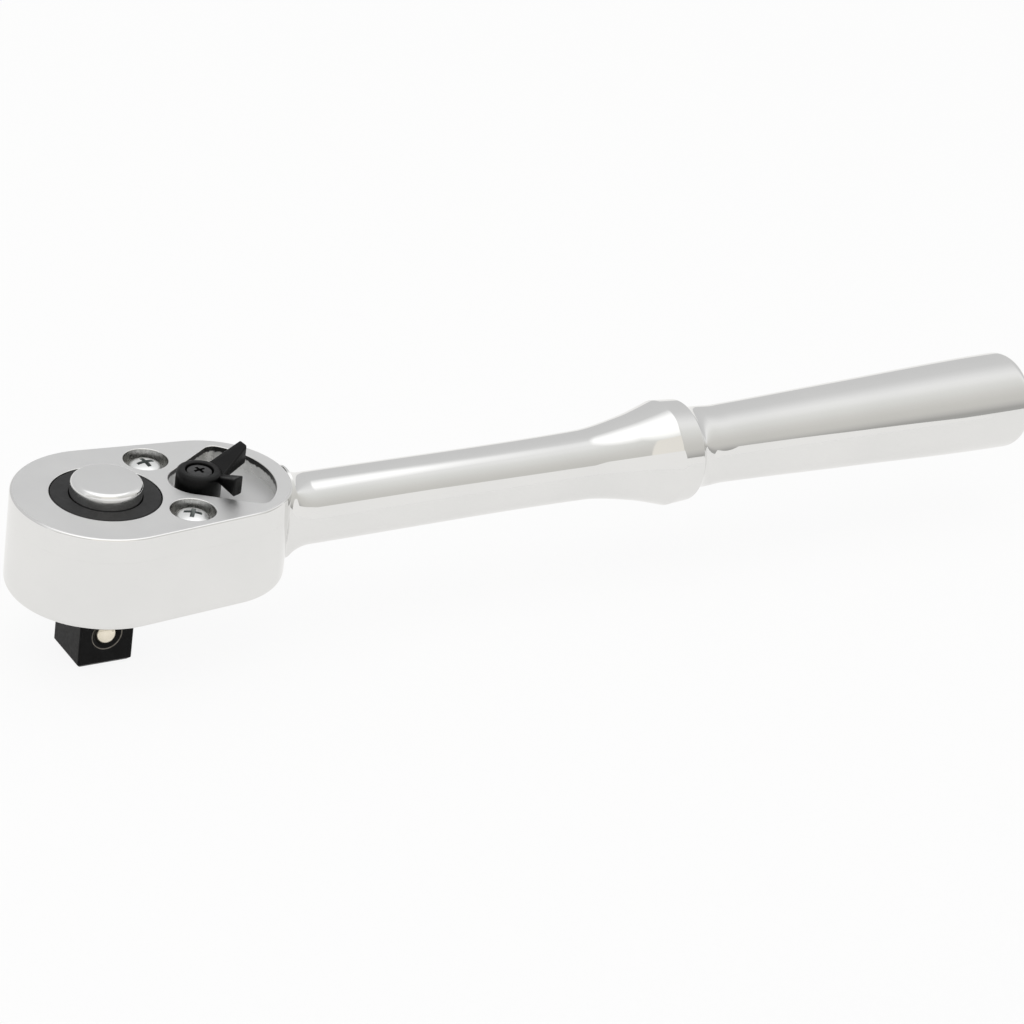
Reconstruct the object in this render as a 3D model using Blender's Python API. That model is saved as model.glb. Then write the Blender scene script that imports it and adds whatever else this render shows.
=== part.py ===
"""Quick-release ratchet, 3/8 inch square drive, about 200 mm long.

The frame has its origin at the middle of the drive square's end face. +Z runs up the drive axis to the
cover plate, and +X runs along the handle. Heights below are depths under the cover plate's top face.
"""

import math

import bmesh
import bpy
from mathutils import Matrix, Vector

MM = 0.001

# Head: the plan outline is two circles joined by their tangents
HEAD_FRONT_RADIUS = 15.25 * MM
HEAD_REAR_RADIUS = 13.4 * MM
HEAD_REAR_X = 18.5 * MM
HEAD_HEIGHT = 16.8 * MM
HEAD_BOTTOM_ROUND = 1.6 * MM
COVER_THICKNESS = 4.2 * MM
COVER_CHAMFER = 0.45 * MM
COVER_SEAM = 0.06 * MM

# Handle, on one straight axis
HANDLE_ROOT_WALL = 2.0 * MM
HANDLE_AXIS_DEPTH = 8.4 * MM
NECK_START_X = 36.5 * MM
NECK_RADIUS = 6.05 * MM
NECK_SHELF_RADIUS = 8.2 * MM
NECK_TOP_FILLET = 5.0 * MM
NECK_SIDE_FILLET = 3.0 * MM
SWELL_START_X = 90.0 * MM
SWELL_X = 99.5 * MM
SWELL_RADIUS = 7.4 * MM
RIDGE_X = 106.4 * MM
RIDGE_RADIUS = 9.25 * MM
RIDGE_SLOPE = 0.3
RIM_X = 110.8 * MM
RIM_RADIUS = 8.95 * MM
RIM_ROUND = 0.4 * MM
GRIP_FOOT_X = 114.4 * MM
GRIP_FOOT_RADIUS = 7.15 * MM
GRIP_WAIST_X = 119.0 * MM
GRIP_WAIST_RADIUS = 6.95 * MM
GRIP_MIDDLE_X = 145.0 * MM
GRIP_MIDDLE_RADIUS = 7.75 * MM
GRIP_END_RADIUS = 8.75 * MM
HANDLE_END_X = 184.0 * MM
HANDLE_END_ROUND = 2.4 * MM

# Drive: gear, hub ring and square in one piece
DRIVE_SQUARE = 9.525 * MM
DRIVE_EDGE_CHAMFER = 0.3 * MM
DRIVE_END_CHAMFER = 0.6 * MM
DRIVE_END_DEPTH = 29.0 * MM
HUB_RADIUS = 8.95 * MM
JOURNAL_RADIUS = 6.8 * MM
JOURNAL_REACH = 0.2 * MM
GEAR_TEETH = 36
GEAR_STEP = 0.45 * MM
TOOTH_HEIGHT = 0.8 * MM
GEAR_TOP_DEPTH = 4.6 * MM
GEAR_HEIGHT = 6.3 * MM
TOOTH_TIP_SHARE = 0.16
TOOTH_ROOT_SHARE = 0.84

# Quick release
BUTTON_RADIUS = 5.85 * MM
BUTTON_RISE = 2.8 * MM
BUTTON_ROUND = 1.0 * MM
BUTTON_SKIRT_DEPTH = 3.6 * MM
BUTTON_TRAVEL = 2.0 * MM
BUTTON_POCKET_RADIUS = 4.9 * MM
BUTTON_POCKET_DEPTH = 1.0 * MM
BUTTON_BOSS_RADIUS = 2.7 * MM
BUTTON_BORE_DEPTH = 7.2 * MM
PIN_RADIUS = 1.7 * MM
PIN_NECK_RADIUS = 0.6 * MM
PIN_RAMP_SLOPE = 0.4
PIN_TOP_DEPTH = -0.9 * MM
PIN_TIP_LENGTH = 0.7 * MM
BALL_RADIUS = 2.0 * MM
BALL_STANDOUT = 0.82 * MM
BALL_DEPTH = 23.4 * MM
BALL_LIP_DEPTH = 0.4 * MM
BALL_CHAMFER_RADIUS = 2.7 * MM
BUTTON_SPRING_RADIUS = 3.8 * MM
BUTTON_SPRING_WIRE = 0.35 * MM
BUTTON_SPRING_TURNS = 4.0

# Rings and washers
O_RING_SECTION = 0.43 * MM
GROOVE_WIDTH = 1.0 * MM
HUB_GROOVE_DEPTH = 2.9 * MM
JOURNAL_GROOVE_DEPTH = 14.4 * MM
THRUST_WASHER = 0.5 * MM
THRUST_WASHER_RADIUS = 9.2 * MM
FRICTION_WASHER = 0.24 * MM
FRICTION_WASHER_WIDTH = 0.95 * MM

# Reversing lever, pawl and their spring detent, all on one axis
LEVER_X = 16.4 * MM
LEVER_REST_ANGLE = math.radians(-30.0)
LEVER_HUB_RADIUS = 3.75 * MM
LEVER_HUB_RISE = 1.9 * MM
LEVER_HUB_ROUND = 0.7 * MM
WING_OUTER_RADIUS = 9.15 * MM
WING_OUTER_ANGLE = math.radians(49.5)
WING_INNER_RADIUS = 8.95 * MM
WING_INNER_ANGLE = math.radians(36.7)
WING_NOTCH_X = 4.2 * MM
FAR_WING_ROOT_ANGLE = math.radians(75.0)
NEAR_WING_ROOT_ANGLE = math.radians(27.0)
WING_ROOT_SHARE = 0.77
WING_RISE = -0.1 * MM
WING_TOP_SLOPE = 0.515
WING_UNDERSIDE = 0.07 * MM
WING_UNDERSIDE_SLOPE = 0.12
WING_SLOPE_ANGLE = math.radians(38.0)
WING_BEVEL = 0.3 * MM
LEVER_SCREW_HEAD_RADIUS = 2.05 * MM
LEVER_SCREW_HEAD = 1.1 * MM
LEVER_SEAT_GAP = 0.3 * MM
LEVER_SEAT_DEPTH = 1.2 * MM
LEVER_SOCKET_ROOF = 0.6 * MM
LEVER_SCREW_TURN = math.radians(41.0)
LEVER_SCREW_RADIUS = 1.2 * MM
LEVER_SCREW_LENGTH = 5.2 * MM
OPENING_DEPTH = 2.7 * MM
OPENING_LOBE_RADIUS = 4.95 * MM
OPENING_RADIUS = 12.65 * MM
OPENING_HALF_ANGLE = math.radians(33.5)
OPENING_CORNER = 2.0 * MM
SPINDLE_SQUARE = 3.3 * MM
SPINDLE_JOURNAL_RADIUS = 2.4 * MM
SPINDLE_HUB_RADIUS = 3.2 * MM
SPINDLE_PIVOT_RADIUS = 1.5 * MM
SPINDLE_PIVOT_LENGTH = 2.0 * MM
PAWL_REACH = 7.4 * MM
PAWL_EYE_RADIUS = 5.0 * MM
PAWL_HALF_ANGLE = math.radians(68.0)
PAWL_ROCK = math.radians(7.0)
PAWL_TOOTH_CLEARANCE = 0.12 * MM
PAWL_CREST_CLEARANCE = 0.25 * MM
PLUNGER_RADIUS = 1.1 * MM
PLUNGER_LENGTH = 1.7 * MM
PLUNGER_SPRING_RADIUS = 0.8 * MM
PLUNGER_SPRING_WIRE = 0.14 * MM
PLUNGER_SPRING_TURNS = 3.0

# Cover screws
COVER_SCREW_X = 11.15 * MM
COVER_SCREW_Y = 8.85 * MM
COVER_SCREW_RADIUS = 1.5 * MM
COVER_SCREW_LENGTH = 8.0 * MM
SCREW_HEAD_RADIUS = 2.75 * MM
SCREW_HEAD_HEIGHT = 1.85 * MM
COUNTERBORE_RADIUS = 3.7 * MM
COUNTERBORE_DEPTH = 2.3 * MM
SCREW_DOME_SHARE = 0.6
CROSS_SPAN = 3.2 * MM
CROSS_SLOT = 0.7 * MM
CROSS_DEPTH = 1.0 * MM
LEVER_SCREW_DOME_SHARE = 0.25
LEVER_CROSS_SPAN = 2.1 * MM
LEVER_CROSS_SLOT = 0.5 * MM
LEVER_CROSS_DEPTH = 0.7 * MM
TAPPED_RUNOUT = 0.5 * MM

# Fits
RUNNING_FIT = 0.1 * MM
CLOSE_FIT = 0.06 * MM
FACE_GAP = 0.05 * MM
POCKET_CLEARANCE = 0.5 * MM
LEVER_FLOOR_GAP = 0.3 * MM
SMALL_CHAMFER = 0.3 * MM

# Facets
ROUND_STEPS = 40
FINE_STEPS = 64
SMALL_STEPS = 20
HANDLE_STEPS = 36
ARC_STEPS = 5
CURVE_STEPS = 5
CUT_OVERRUN = 1.0 * MM

TOP = DRIVE_END_DEPTH
GEAR_ROOT_RADIUS = HUB_RADIUS + GEAR_STEP
GEAR_TIP_RADIUS = GEAR_ROOT_RADIUS + TOOTH_HEIGHT
FRICTION_WASHER_RADIUS = HUB_RADIUS + RUNNING_FIT + FRICTION_WASHER_WIDTH
FLOOR_DEPTH = GEAR_TOP_DEPTH + GEAR_HEIGHT + THRUST_WASHER + 2 * FACE_GAP
SEAM_DEPTH = COVER_THICKNESS + COVER_SEAM
POCKET_RADIUS = GEAR_TIP_RADIUS + POCKET_CLEARANCE
PAWL_POCKET_RADIUS = PAWL_REACH + POCKET_CLEARANCE
LEVER_BASE_DEPTH = OPENING_DEPTH - LEVER_FLOOR_GAP
PAWL_TOP_DEPTH = GEAR_TOP_DEPTH
PAWL_BOTTOM_DEPTH = FLOOR_DEPTH - RUNNING_FIT
SPINDLE_HUB_DEPTH = SEAM_DEPTH + RUNNING_FIT
PLUNGER_DEPTH = (SPINDLE_HUB_DEPTH + PAWL_BOTTOM_DEPTH) / 2
BALL_OUT = DRIVE_SQUARE / 2 + BALL_STANDOUT - BALL_RADIUS


def height(depth):
    """World Z of a depth under the cover plate's top face."""
    return TOP - depth


def arc(center, radius, start, end, steps):
    """Points on a circular arc, both ends included."""
    angles = [start + (end - start) * k / steps for k in range(steps + 1)]
    return [(center[0] + radius * math.cos(a), center[1] + radius * math.sin(a)) for a in angles]


def circle(radius, steps, center=(0.0, 0.0)):
    return arc(center, radius, 0.0, 2 * math.pi, steps)[:-1]


def head_outline(inset):
    """The head's plan outline, drawn in by inset."""
    lean = math.acos((HEAD_FRONT_RADIUS - HEAD_REAR_RADIUS) / HEAD_REAR_X)
    front = arc((0, 0), HEAD_FRONT_RADIUS - inset, lean, 2 * math.pi - lean, 40)
    rear = arc((HEAD_REAR_X, 0), HEAD_REAR_RADIUS - inset, -lean, lean, 32)
    return front + rear


def gear_outline(grow):
    """The gear's teeth in plan, each face moved out by grow. A tooth space lies on +X."""
    pitch = 2 * math.pi / GEAR_TEETH
    tip = pitch * TOOTH_TIP_SHARE / 2 + grow / GEAR_TIP_RADIUS
    root = pitch * TOOTH_ROOT_SHARE / 2 + grow / GEAR_TIP_RADIUS
    root = min(root, pitch * 0.49)
    points = []
    for k in range(GEAR_TEETH):
        middle = (k + 0.5) * pitch
        for radius, turn in (
            (GEAR_ROOT_RADIUS, -root),
            (GEAR_TIP_RADIUS, -tip),
            (GEAR_TIP_RADIUS, tip),
            (GEAR_ROOT_RADIUS, root),
        ):
            reach = radius + grow
            points.append((reach * math.cos(middle + turn), reach * math.sin(middle + turn)))
    return points


def square_outline(side, chamfer):
    """A square with its corners cut off."""
    half = side / 2
    near = half - chamfer
    return [
        (half, -near), (half, near), (near, half), (-near, half),
        (-half, near), (-half, -near), (-near, -half), (near, -half),
    ]


def cross_outline(span, slot):
    """A plus sign, for a cross recess."""
    long, short = span / 2, slot / 2
    return [
        (long, -short), (long, short), (short, short), (short, long), (-short, long), (-short, short),
        (-long, short), (-long, -short), (-short, -short), (-short, -long), (short, -long), (short, -short),
    ]


def opening_outline(inset):
    """The lever's fan-shaped opening about the lever axis: a lobe, two straight sides and an outer arc."""
    lobe = OPENING_LOBE_RADIUS - inset
    outer = OPENING_RADIUS - inset
    corner = OPENING_CORNER
    side = math.pi / 2 + OPENING_HALF_ANGLE
    inner_reach = outer - corner
    off = lobe - corner
    along = math.sqrt(inner_reach**2 - off**2)
    spread = OPENING_HALF_ANGLE + math.atan2(off, along)
    upper = (inner_reach * math.cos(spread), inner_reach * math.sin(spread))
    lower = (upper[0], -upper[1])
    points = arc((0, 0), lobe, side, 2 * math.pi - side, 20)
    points += arc(lower, corner, -side, -spread, ARC_STEPS)
    points += arc((0, 0), outer, -spread, spread, 20)[1:-1]
    points += arc(upper, corner, spread, side, ARC_STEPS)
    return points


def smooth_curve(stations, steps, end_slope=0.0):
    """Points on a smooth curve through (x, radius) stations, flat at its start."""
    slopes = [0.0]
    for before, after in zip(stations, stations[2:]):
        slopes.append((after[1] - before[1]) / (after[0] - before[0]))
    slopes.append(end_slope)
    points = [stations[0]]
    for (a, b, m0, m1) in zip(stations, stations[1:], slopes, slopes[1:]):
        span = b[0] - a[0]
        for k in range(1, steps + 1):
            t = k / steps
            blend = t * t * (3 - 2 * t)
            bend = span * (m0 * t * (1 - t) ** 2 - m1 * t * t * (1 - t))
            points.append((a[0] + span * t, a[1] + (b[1] - a[1]) * blend + bend))
    return points


def handle_stations():
    """(x, half width, half height) along the handle, from inside the head to the grip's end."""
    reach = HEAD_REAR_RADIUS + NECK_SIDE_FILLET
    side_x = HEAD_REAR_X + math.sqrt(reach**2 - (NECK_RADIUS + NECK_SIDE_FILLET) ** 2)
    wall_x = HEAD_REAR_X + (side_x - HEAD_REAR_X) * HEAD_REAR_RADIUS / reach
    rise = NECK_SHELF_RADIUS - NECK_RADIUS
    shelf_x = NECK_START_X - math.sqrt(NECK_TOP_FILLET**2 - (NECK_TOP_FILLET - rise) ** 2)
    inside_x = LEVER_X + PAWL_POCKET_RADIUS + HANDLE_ROOT_WALL

    def flare(x, end, start, fillet):
        run = min(max(end - x, 0.0), end - start)
        return NECK_RADIUS + fillet - math.sqrt(fillet**2 - run**2)

    marks = [inside_x]
    marks += [wall_x + (side_x - wall_x) * k / ARC_STEPS for k in range(ARC_STEPS + 1)]
    marks += [shelf_x + (NECK_START_X - shelf_x) * k / ARC_STEPS for k in range(ARC_STEPS)]
    rings = []
    for x in sorted(marks):
        half_width = flare(x, side_x, wall_x, NECK_SIDE_FILLET)
        rings.append((x, half_width, flare(x, NECK_START_X, shelf_x, NECK_TOP_FILLET)))

    neck = [
        (NECK_START_X, NECK_RADIUS),
        (SWELL_START_X, NECK_RADIUS),
        (SWELL_X, SWELL_RADIUS),
        (RIDGE_X, RIDGE_RADIUS),
    ]
    outline = smooth_curve(neck, CURVE_STEPS, RIDGE_SLOPE)
    outline += arc((RIM_X - RIM_ROUND, RIM_RADIUS - RIM_ROUND), RIM_ROUND, math.pi / 2, 0, 3)
    fall = RIM_RADIUS - RIM_ROUND - GRIP_FOOT_RADIUS
    run = GRIP_FOOT_X - RIM_X
    fillet = (run**2 + fall**2) / (2 * fall)
    lean = math.asin(run / fillet)
    foot = (GRIP_FOOT_X, GRIP_FOOT_RADIUS + fillet)
    outline += arc(foot, fillet, 1.5 * math.pi - lean, 1.5 * math.pi, ARC_STEPS)[1:-1]
    taper_end = HANDLE_END_X - HANDLE_END_ROUND
    grip = [
        (GRIP_FOOT_X, GRIP_FOOT_RADIUS),
        (GRIP_WAIST_X, GRIP_WAIST_RADIUS),
        (GRIP_MIDDLE_X, GRIP_MIDDLE_RADIUS),
        (taper_end, GRIP_END_RADIUS),
    ]
    outline += smooth_curve(grip, CURVE_STEPS)
    end = (taper_end, GRIP_END_RADIUS - HANDLE_END_ROUND)
    outline += arc(end, HANDLE_END_ROUND, math.pi / 2, 0, ARC_STEPS)[1:]
    return rings + [(x, radius, radius) for x, radius in outline]


def finish_mesh(bm, name, material, smooth=True, angle=40.0):
    """Makes an object of a mesh, facing out and shaded."""
    bmesh.ops.remove_doubles(bm, verts=bm.verts, dist=1e-7)
    bmesh.ops.recalc_face_normals(bm, faces=bm.faces)
    mesh = bpy.data.meshes.new(name)
    bm.to_mesh(mesh)
    bm.free()
    if smooth:
        mesh.shade_smooth()
        mesh.set_sharp_from_angle(angle=math.radians(angle))
    obj = bpy.data.objects.new(name, mesh)
    bpy.context.scene.collection.objects.link(obj)
    if material:
        mesh.materials.append(material)
    return obj


def skin(rings, closed=False):
    """A mesh from rings of equal length, capped at both ends or closed on itself. One point is a pole."""
    bm = bmesh.new()
    loops = [[bm.verts.new(p) for p in ring] for ring in rings]
    pairs = list(zip(loops, loops[1:]))
    if closed:
        pairs.append((loops[-1], loops[0]))
    for low, high in pairs:
        count = max(len(low), len(high))
        for k in range(count):
            n = (k + 1) % count
            corners = [low[k % len(low)], low[n % len(low)], high[n % len(high)], high[k % len(high)]]
            bm.faces.new(list(dict.fromkeys(corners)))
    if not closed:
        for end in (loops[0], loops[-1]):
            if len(end) > 1:
                bm.faces.new(end)
    return bm


def prism(outline, low, high):
    """An upright prism between two heights."""
    return skin([[(x, y, z) for x, y in outline] for z in (low, high)])


def turned(profile, steps, closed=False):
    """A solid of revolution about Z from (radius, height) points."""
    rings = []
    for radius, z in profile:
        if radius < 1e-9:
            rings.append([(0, 0, z)])
        else:
            rings.append([(x, y, z) for x, y in circle(radius, steps)])
    return skin(rings, closed)


def ring_solid(inner, outer, low, high, steps=ROUND_STEPS):
    """A flat washer."""
    return turned([(inner, low), (outer, low), (outer, high), (inner, high)], steps, closed=True)


def o_ring(radius, section, z, steps=ROUND_STEPS):
    """A ring of round section."""
    profile = [(radius + x, z + y) for x, y in circle(section, 6)]
    return turned(profile, steps, closed=True)


def helix(name, radius, wire, turns, start, length, material):
    """A coil spring along Z as one tube, with the least gap between its turns measured and printed."""
    points = []
    steps = round(turns * 10)
    for k in range(steps + 1):
        a = 2 * math.pi * turns * k / steps
        points.append(Vector((radius * math.cos(a), radius * math.sin(a), start + length * k / steps)))
    gap = min(
        (p - q).length - 2 * wire
        for i, p in enumerate(points)
        for q in points[i + 6:]
    )
    print(f"{name}: least gap between turns {gap / MM:.2f} mm")
    curve = bpy.data.curves.new(name, "CURVE")
    curve.dimensions = "3D"
    curve.bevel_depth = wire
    curve.bevel_resolution = 1
    curve.use_fill_caps = True
    spline = curve.splines.new("POLY")
    spline.points.add(len(points) - 1)
    for point, place in zip(spline.points, points):
        point.co = (*place, 1.0)
    curve.materials.append(material)
    obj = bpy.data.objects.new(name, curve)
    bpy.context.scene.collection.objects.link(obj)
    return obj


def cutter(bm, name):
    """A helper object that only cuts or joins."""
    obj = finish_mesh(bm, name, None, smooth=False)
    obj.hide_render = True
    obj.display_type = "WIRE"
    return obj


def combine(target, tool, operation):
    modifier = target.modifiers.new(f"{operation.lower()} {tool.name}", "BOOLEAN")
    modifier.operation = operation
    modifier.solver = "EXACT"
    modifier.object = tool


def cut(target, tool):
    combine(target, tool, "DIFFERENCE")


def join(target, tool):
    combine(target, tool, "UNION")


def empty(name, place, turn=0.0):
    """A joint's frame, which its pieces hang on."""
    obj = bpy.data.objects.new(name, None)
    obj.location = place
    obj.rotation_euler.z = turn
    bpy.context.scene.collection.objects.link(obj)
    return obj


def hang(parent, *children):
    for child in children:
        child.parent = parent


def principled(name, color, roughness, metallic):
    material = bpy.data.materials.new(name)
    material.use_nodes = True
    shader = material.node_tree.nodes["Principled BSDF"]
    shader.inputs["Base Color"].default_value = (*color, 1.0)
    shader.inputs["Roughness"].default_value = roughness
    shader.inputs["Metallic"].default_value = metallic
    return material


def make_body(chrome):
    """The forging: head with its gear and pawl pockets, neck, bulge and grip."""
    low = HEAD_HEIGHT - HEAD_BOTTOM_ROUND
    levels = [(SEAM_DEPTH - CUT_OVERRUN, 0.0), (low, 0.0)]
    for k in range(1, ARC_STEPS):
        a = math.pi / 2 * k / (ARC_STEPS - 1)
        levels.append((low + HEAD_BOTTOM_ROUND * math.sin(a), HEAD_BOTTOM_ROUND * (1 - math.cos(a))))
    rings = [[(x, y, height(d)) for x, y in head_outline(inset)] for d, inset in levels]
    body = finish_mesh(skin(rings), "ratchet_body", chrome)

    axis = height(HANDLE_AXIS_DEPTH)
    turn = math.pi / HANDLE_STEPS
    section = arc((0, 0), 1.0, turn, turn + 2 * math.pi, HANDLE_STEPS)[:-1]
    sections = []
    for x, half_width, half_height in handle_stations():
        sections.append([(x, half_width * c, axis + half_height * s) for c, s in section])
    join(body, cutter(skin(sections), "handle_loft"))

    cover_space = prism(head_outline(-CLOSE_FIT), height(SEAM_DEPTH), TOP + CUT_OVERRUN)
    cut(body, cutter(cover_space, "cover_space"))
    gear_pocket = prism(circle(POCKET_RADIUS, FINE_STEPS), height(FLOOR_DEPTH), TOP)
    cut(body, cutter(gear_pocket, "gear_pocket"))
    pawl_pocket = prism(circle(PAWL_POCKET_RADIUS, ROUND_STEPS, (LEVER_X, 0)), height(FLOOR_DEPTH), TOP)
    cut(body, cutter(pawl_pocket, "pawl_pocket"))
    bore = prism(circle(JOURNAL_RADIUS + RUNNING_FIT, ROUND_STEPS), height(HEAD_HEIGHT) - CUT_OVERRUN, TOP)
    cut(body, cutter(bore, "drive_bore"))
    pivot_end = FLOOR_DEPTH + SPINDLE_PIVOT_LENGTH + RUNNING_FIT
    pivot = circle(SPINDLE_PIVOT_RADIUS + RUNNING_FIT, SMALL_STEPS, (LEVER_X, 0))
    cut(body, cutter(prism(pivot, height(pivot_end), TOP), "spindle_hole"))
    tapped_end = COUNTERBORE_DEPTH + COVER_SCREW_LENGTH + TAPPED_RUNOUT
    for side, y in (("far", COVER_SCREW_Y), ("near", -COVER_SCREW_Y)):
        hole = circle(COVER_SCREW_RADIUS + RUNNING_FIT, SMALL_STEPS, (COVER_SCREW_X, y))
        cut(body, cutter(prism(hole, height(tapped_end), TOP), f"tapped_hole_{side}"))
    return body


def make_cover(satin):
    """The cover plate with the hub's hole, two counterbored screw holes and the lever's opening."""
    levels = [(COVER_THICKNESS, 0.0), (COVER_CHAMFER, 0.0), (0.0, COVER_CHAMFER)]
    rings = [[(x, y, height(d)) for x, y in head_outline(inset)] for d, inset in levels]
    cover = finish_mesh(skin(rings), "cover_plate", satin)
    below = height(COVER_THICKNESS) - CUT_OVERRUN
    above = TOP + CUT_OVERRUN
    cut(cover, cutter(prism(circle(HUB_RADIUS + RUNNING_FIT, FINE_STEPS), below, above), "hub_hole"))
    for side, y in (("far", COVER_SCREW_Y), ("near", -COVER_SCREW_Y)):
        place = (COVER_SCREW_X, y)
        seat = circle(COUNTERBORE_RADIUS, ROUND_STEPS, place)
        cut(cover, cutter(prism(seat, height(COUNTERBORE_DEPTH), above), f"counterbore_{side}"))
        hole = circle(COVER_SCREW_RADIUS + RUNNING_FIT, SMALL_STEPS, place)
        cut(cover, cutter(prism(hole, below, above), f"screw_hole_{side}"))
    opening = [(x + LEVER_X, y) for x, y in opening_outline(0.0)]
    cut(cover, cutter(prism(opening, height(OPENING_DEPTH), above), "lever_opening"))
    spindle = circle(SPINDLE_JOURNAL_RADIUS + RUNNING_FIT, SMALL_STEPS, (LEVER_X, 0))
    cut(cover, cutter(prism(spindle, below, above), "spindle_bore"))
    web = (OPENING_DEPTH + COVER_THICKNESS) / 2
    groove_radius = SPINDLE_JOURNAL_RADIUS + RUNNING_FIT + 2 * O_RING_SECTION * 0.8
    groove = circle(groove_radius, SMALL_STEPS, (LEVER_X, 0))
    half = GROOVE_WIDTH * 0.4
    cut(cover, cutter(prism(groove, height(web + half), height(web - half)), "spindle_groove"))
    return cover


def screw_profile(head_radius, head_height, dome, radius, length):
    """A pan head screw's profile from its tip up to its crown, with Z = 0 under the head."""
    points = [(0, -length), (radius * 0.75, -length), (radius, -length + radius * 0.5), (radius, 0)]
    points += [(head_radius, 0), (head_radius, head_height - dome)]
    for k in range(1, 5):
        a = math.pi / 2 * k / 4
        points.append((head_radius * math.cos(a), head_height - dome + dome * math.sin(a)))
    points[-1] = (0, head_height)
    return points


def make_screw(name, profile, crown, span, slot, depth, steel):
    """A cross-recessed screw with its head's underside at its origin."""
    screw = finish_mesh(turned(profile, SMALL_STEPS), name, steel)
    recess = cutter(prism(cross_outline(span, slot), crown - depth, crown + CUT_OVERRUN), f"{name}_cross")
    recess.parent = screw
    cut(screw, recess)
    return screw


def make_cover_screws(zinc):
    dome = SCREW_HEAD_HEIGHT * SCREW_DOME_SHARE
    profile = screw_profile(
        SCREW_HEAD_RADIUS, SCREW_HEAD_HEIGHT, dome, COVER_SCREW_RADIUS, COVER_SCREW_LENGTH
    )
    for side, y, turn in (("far", COVER_SCREW_Y, 0.1), ("near", -COVER_SCREW_Y, 0.3)):
        screw = make_screw(
            f"cover_screw_{side}", profile, SCREW_HEAD_HEIGHT, CROSS_SPAN, CROSS_SLOT, CROSS_DEPTH, zinc
        )
        screw.location = (COVER_SCREW_X, y, height(COUNTERBORE_DEPTH) + FACE_GAP)
        screw.rotation_euler.z = turn


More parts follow.
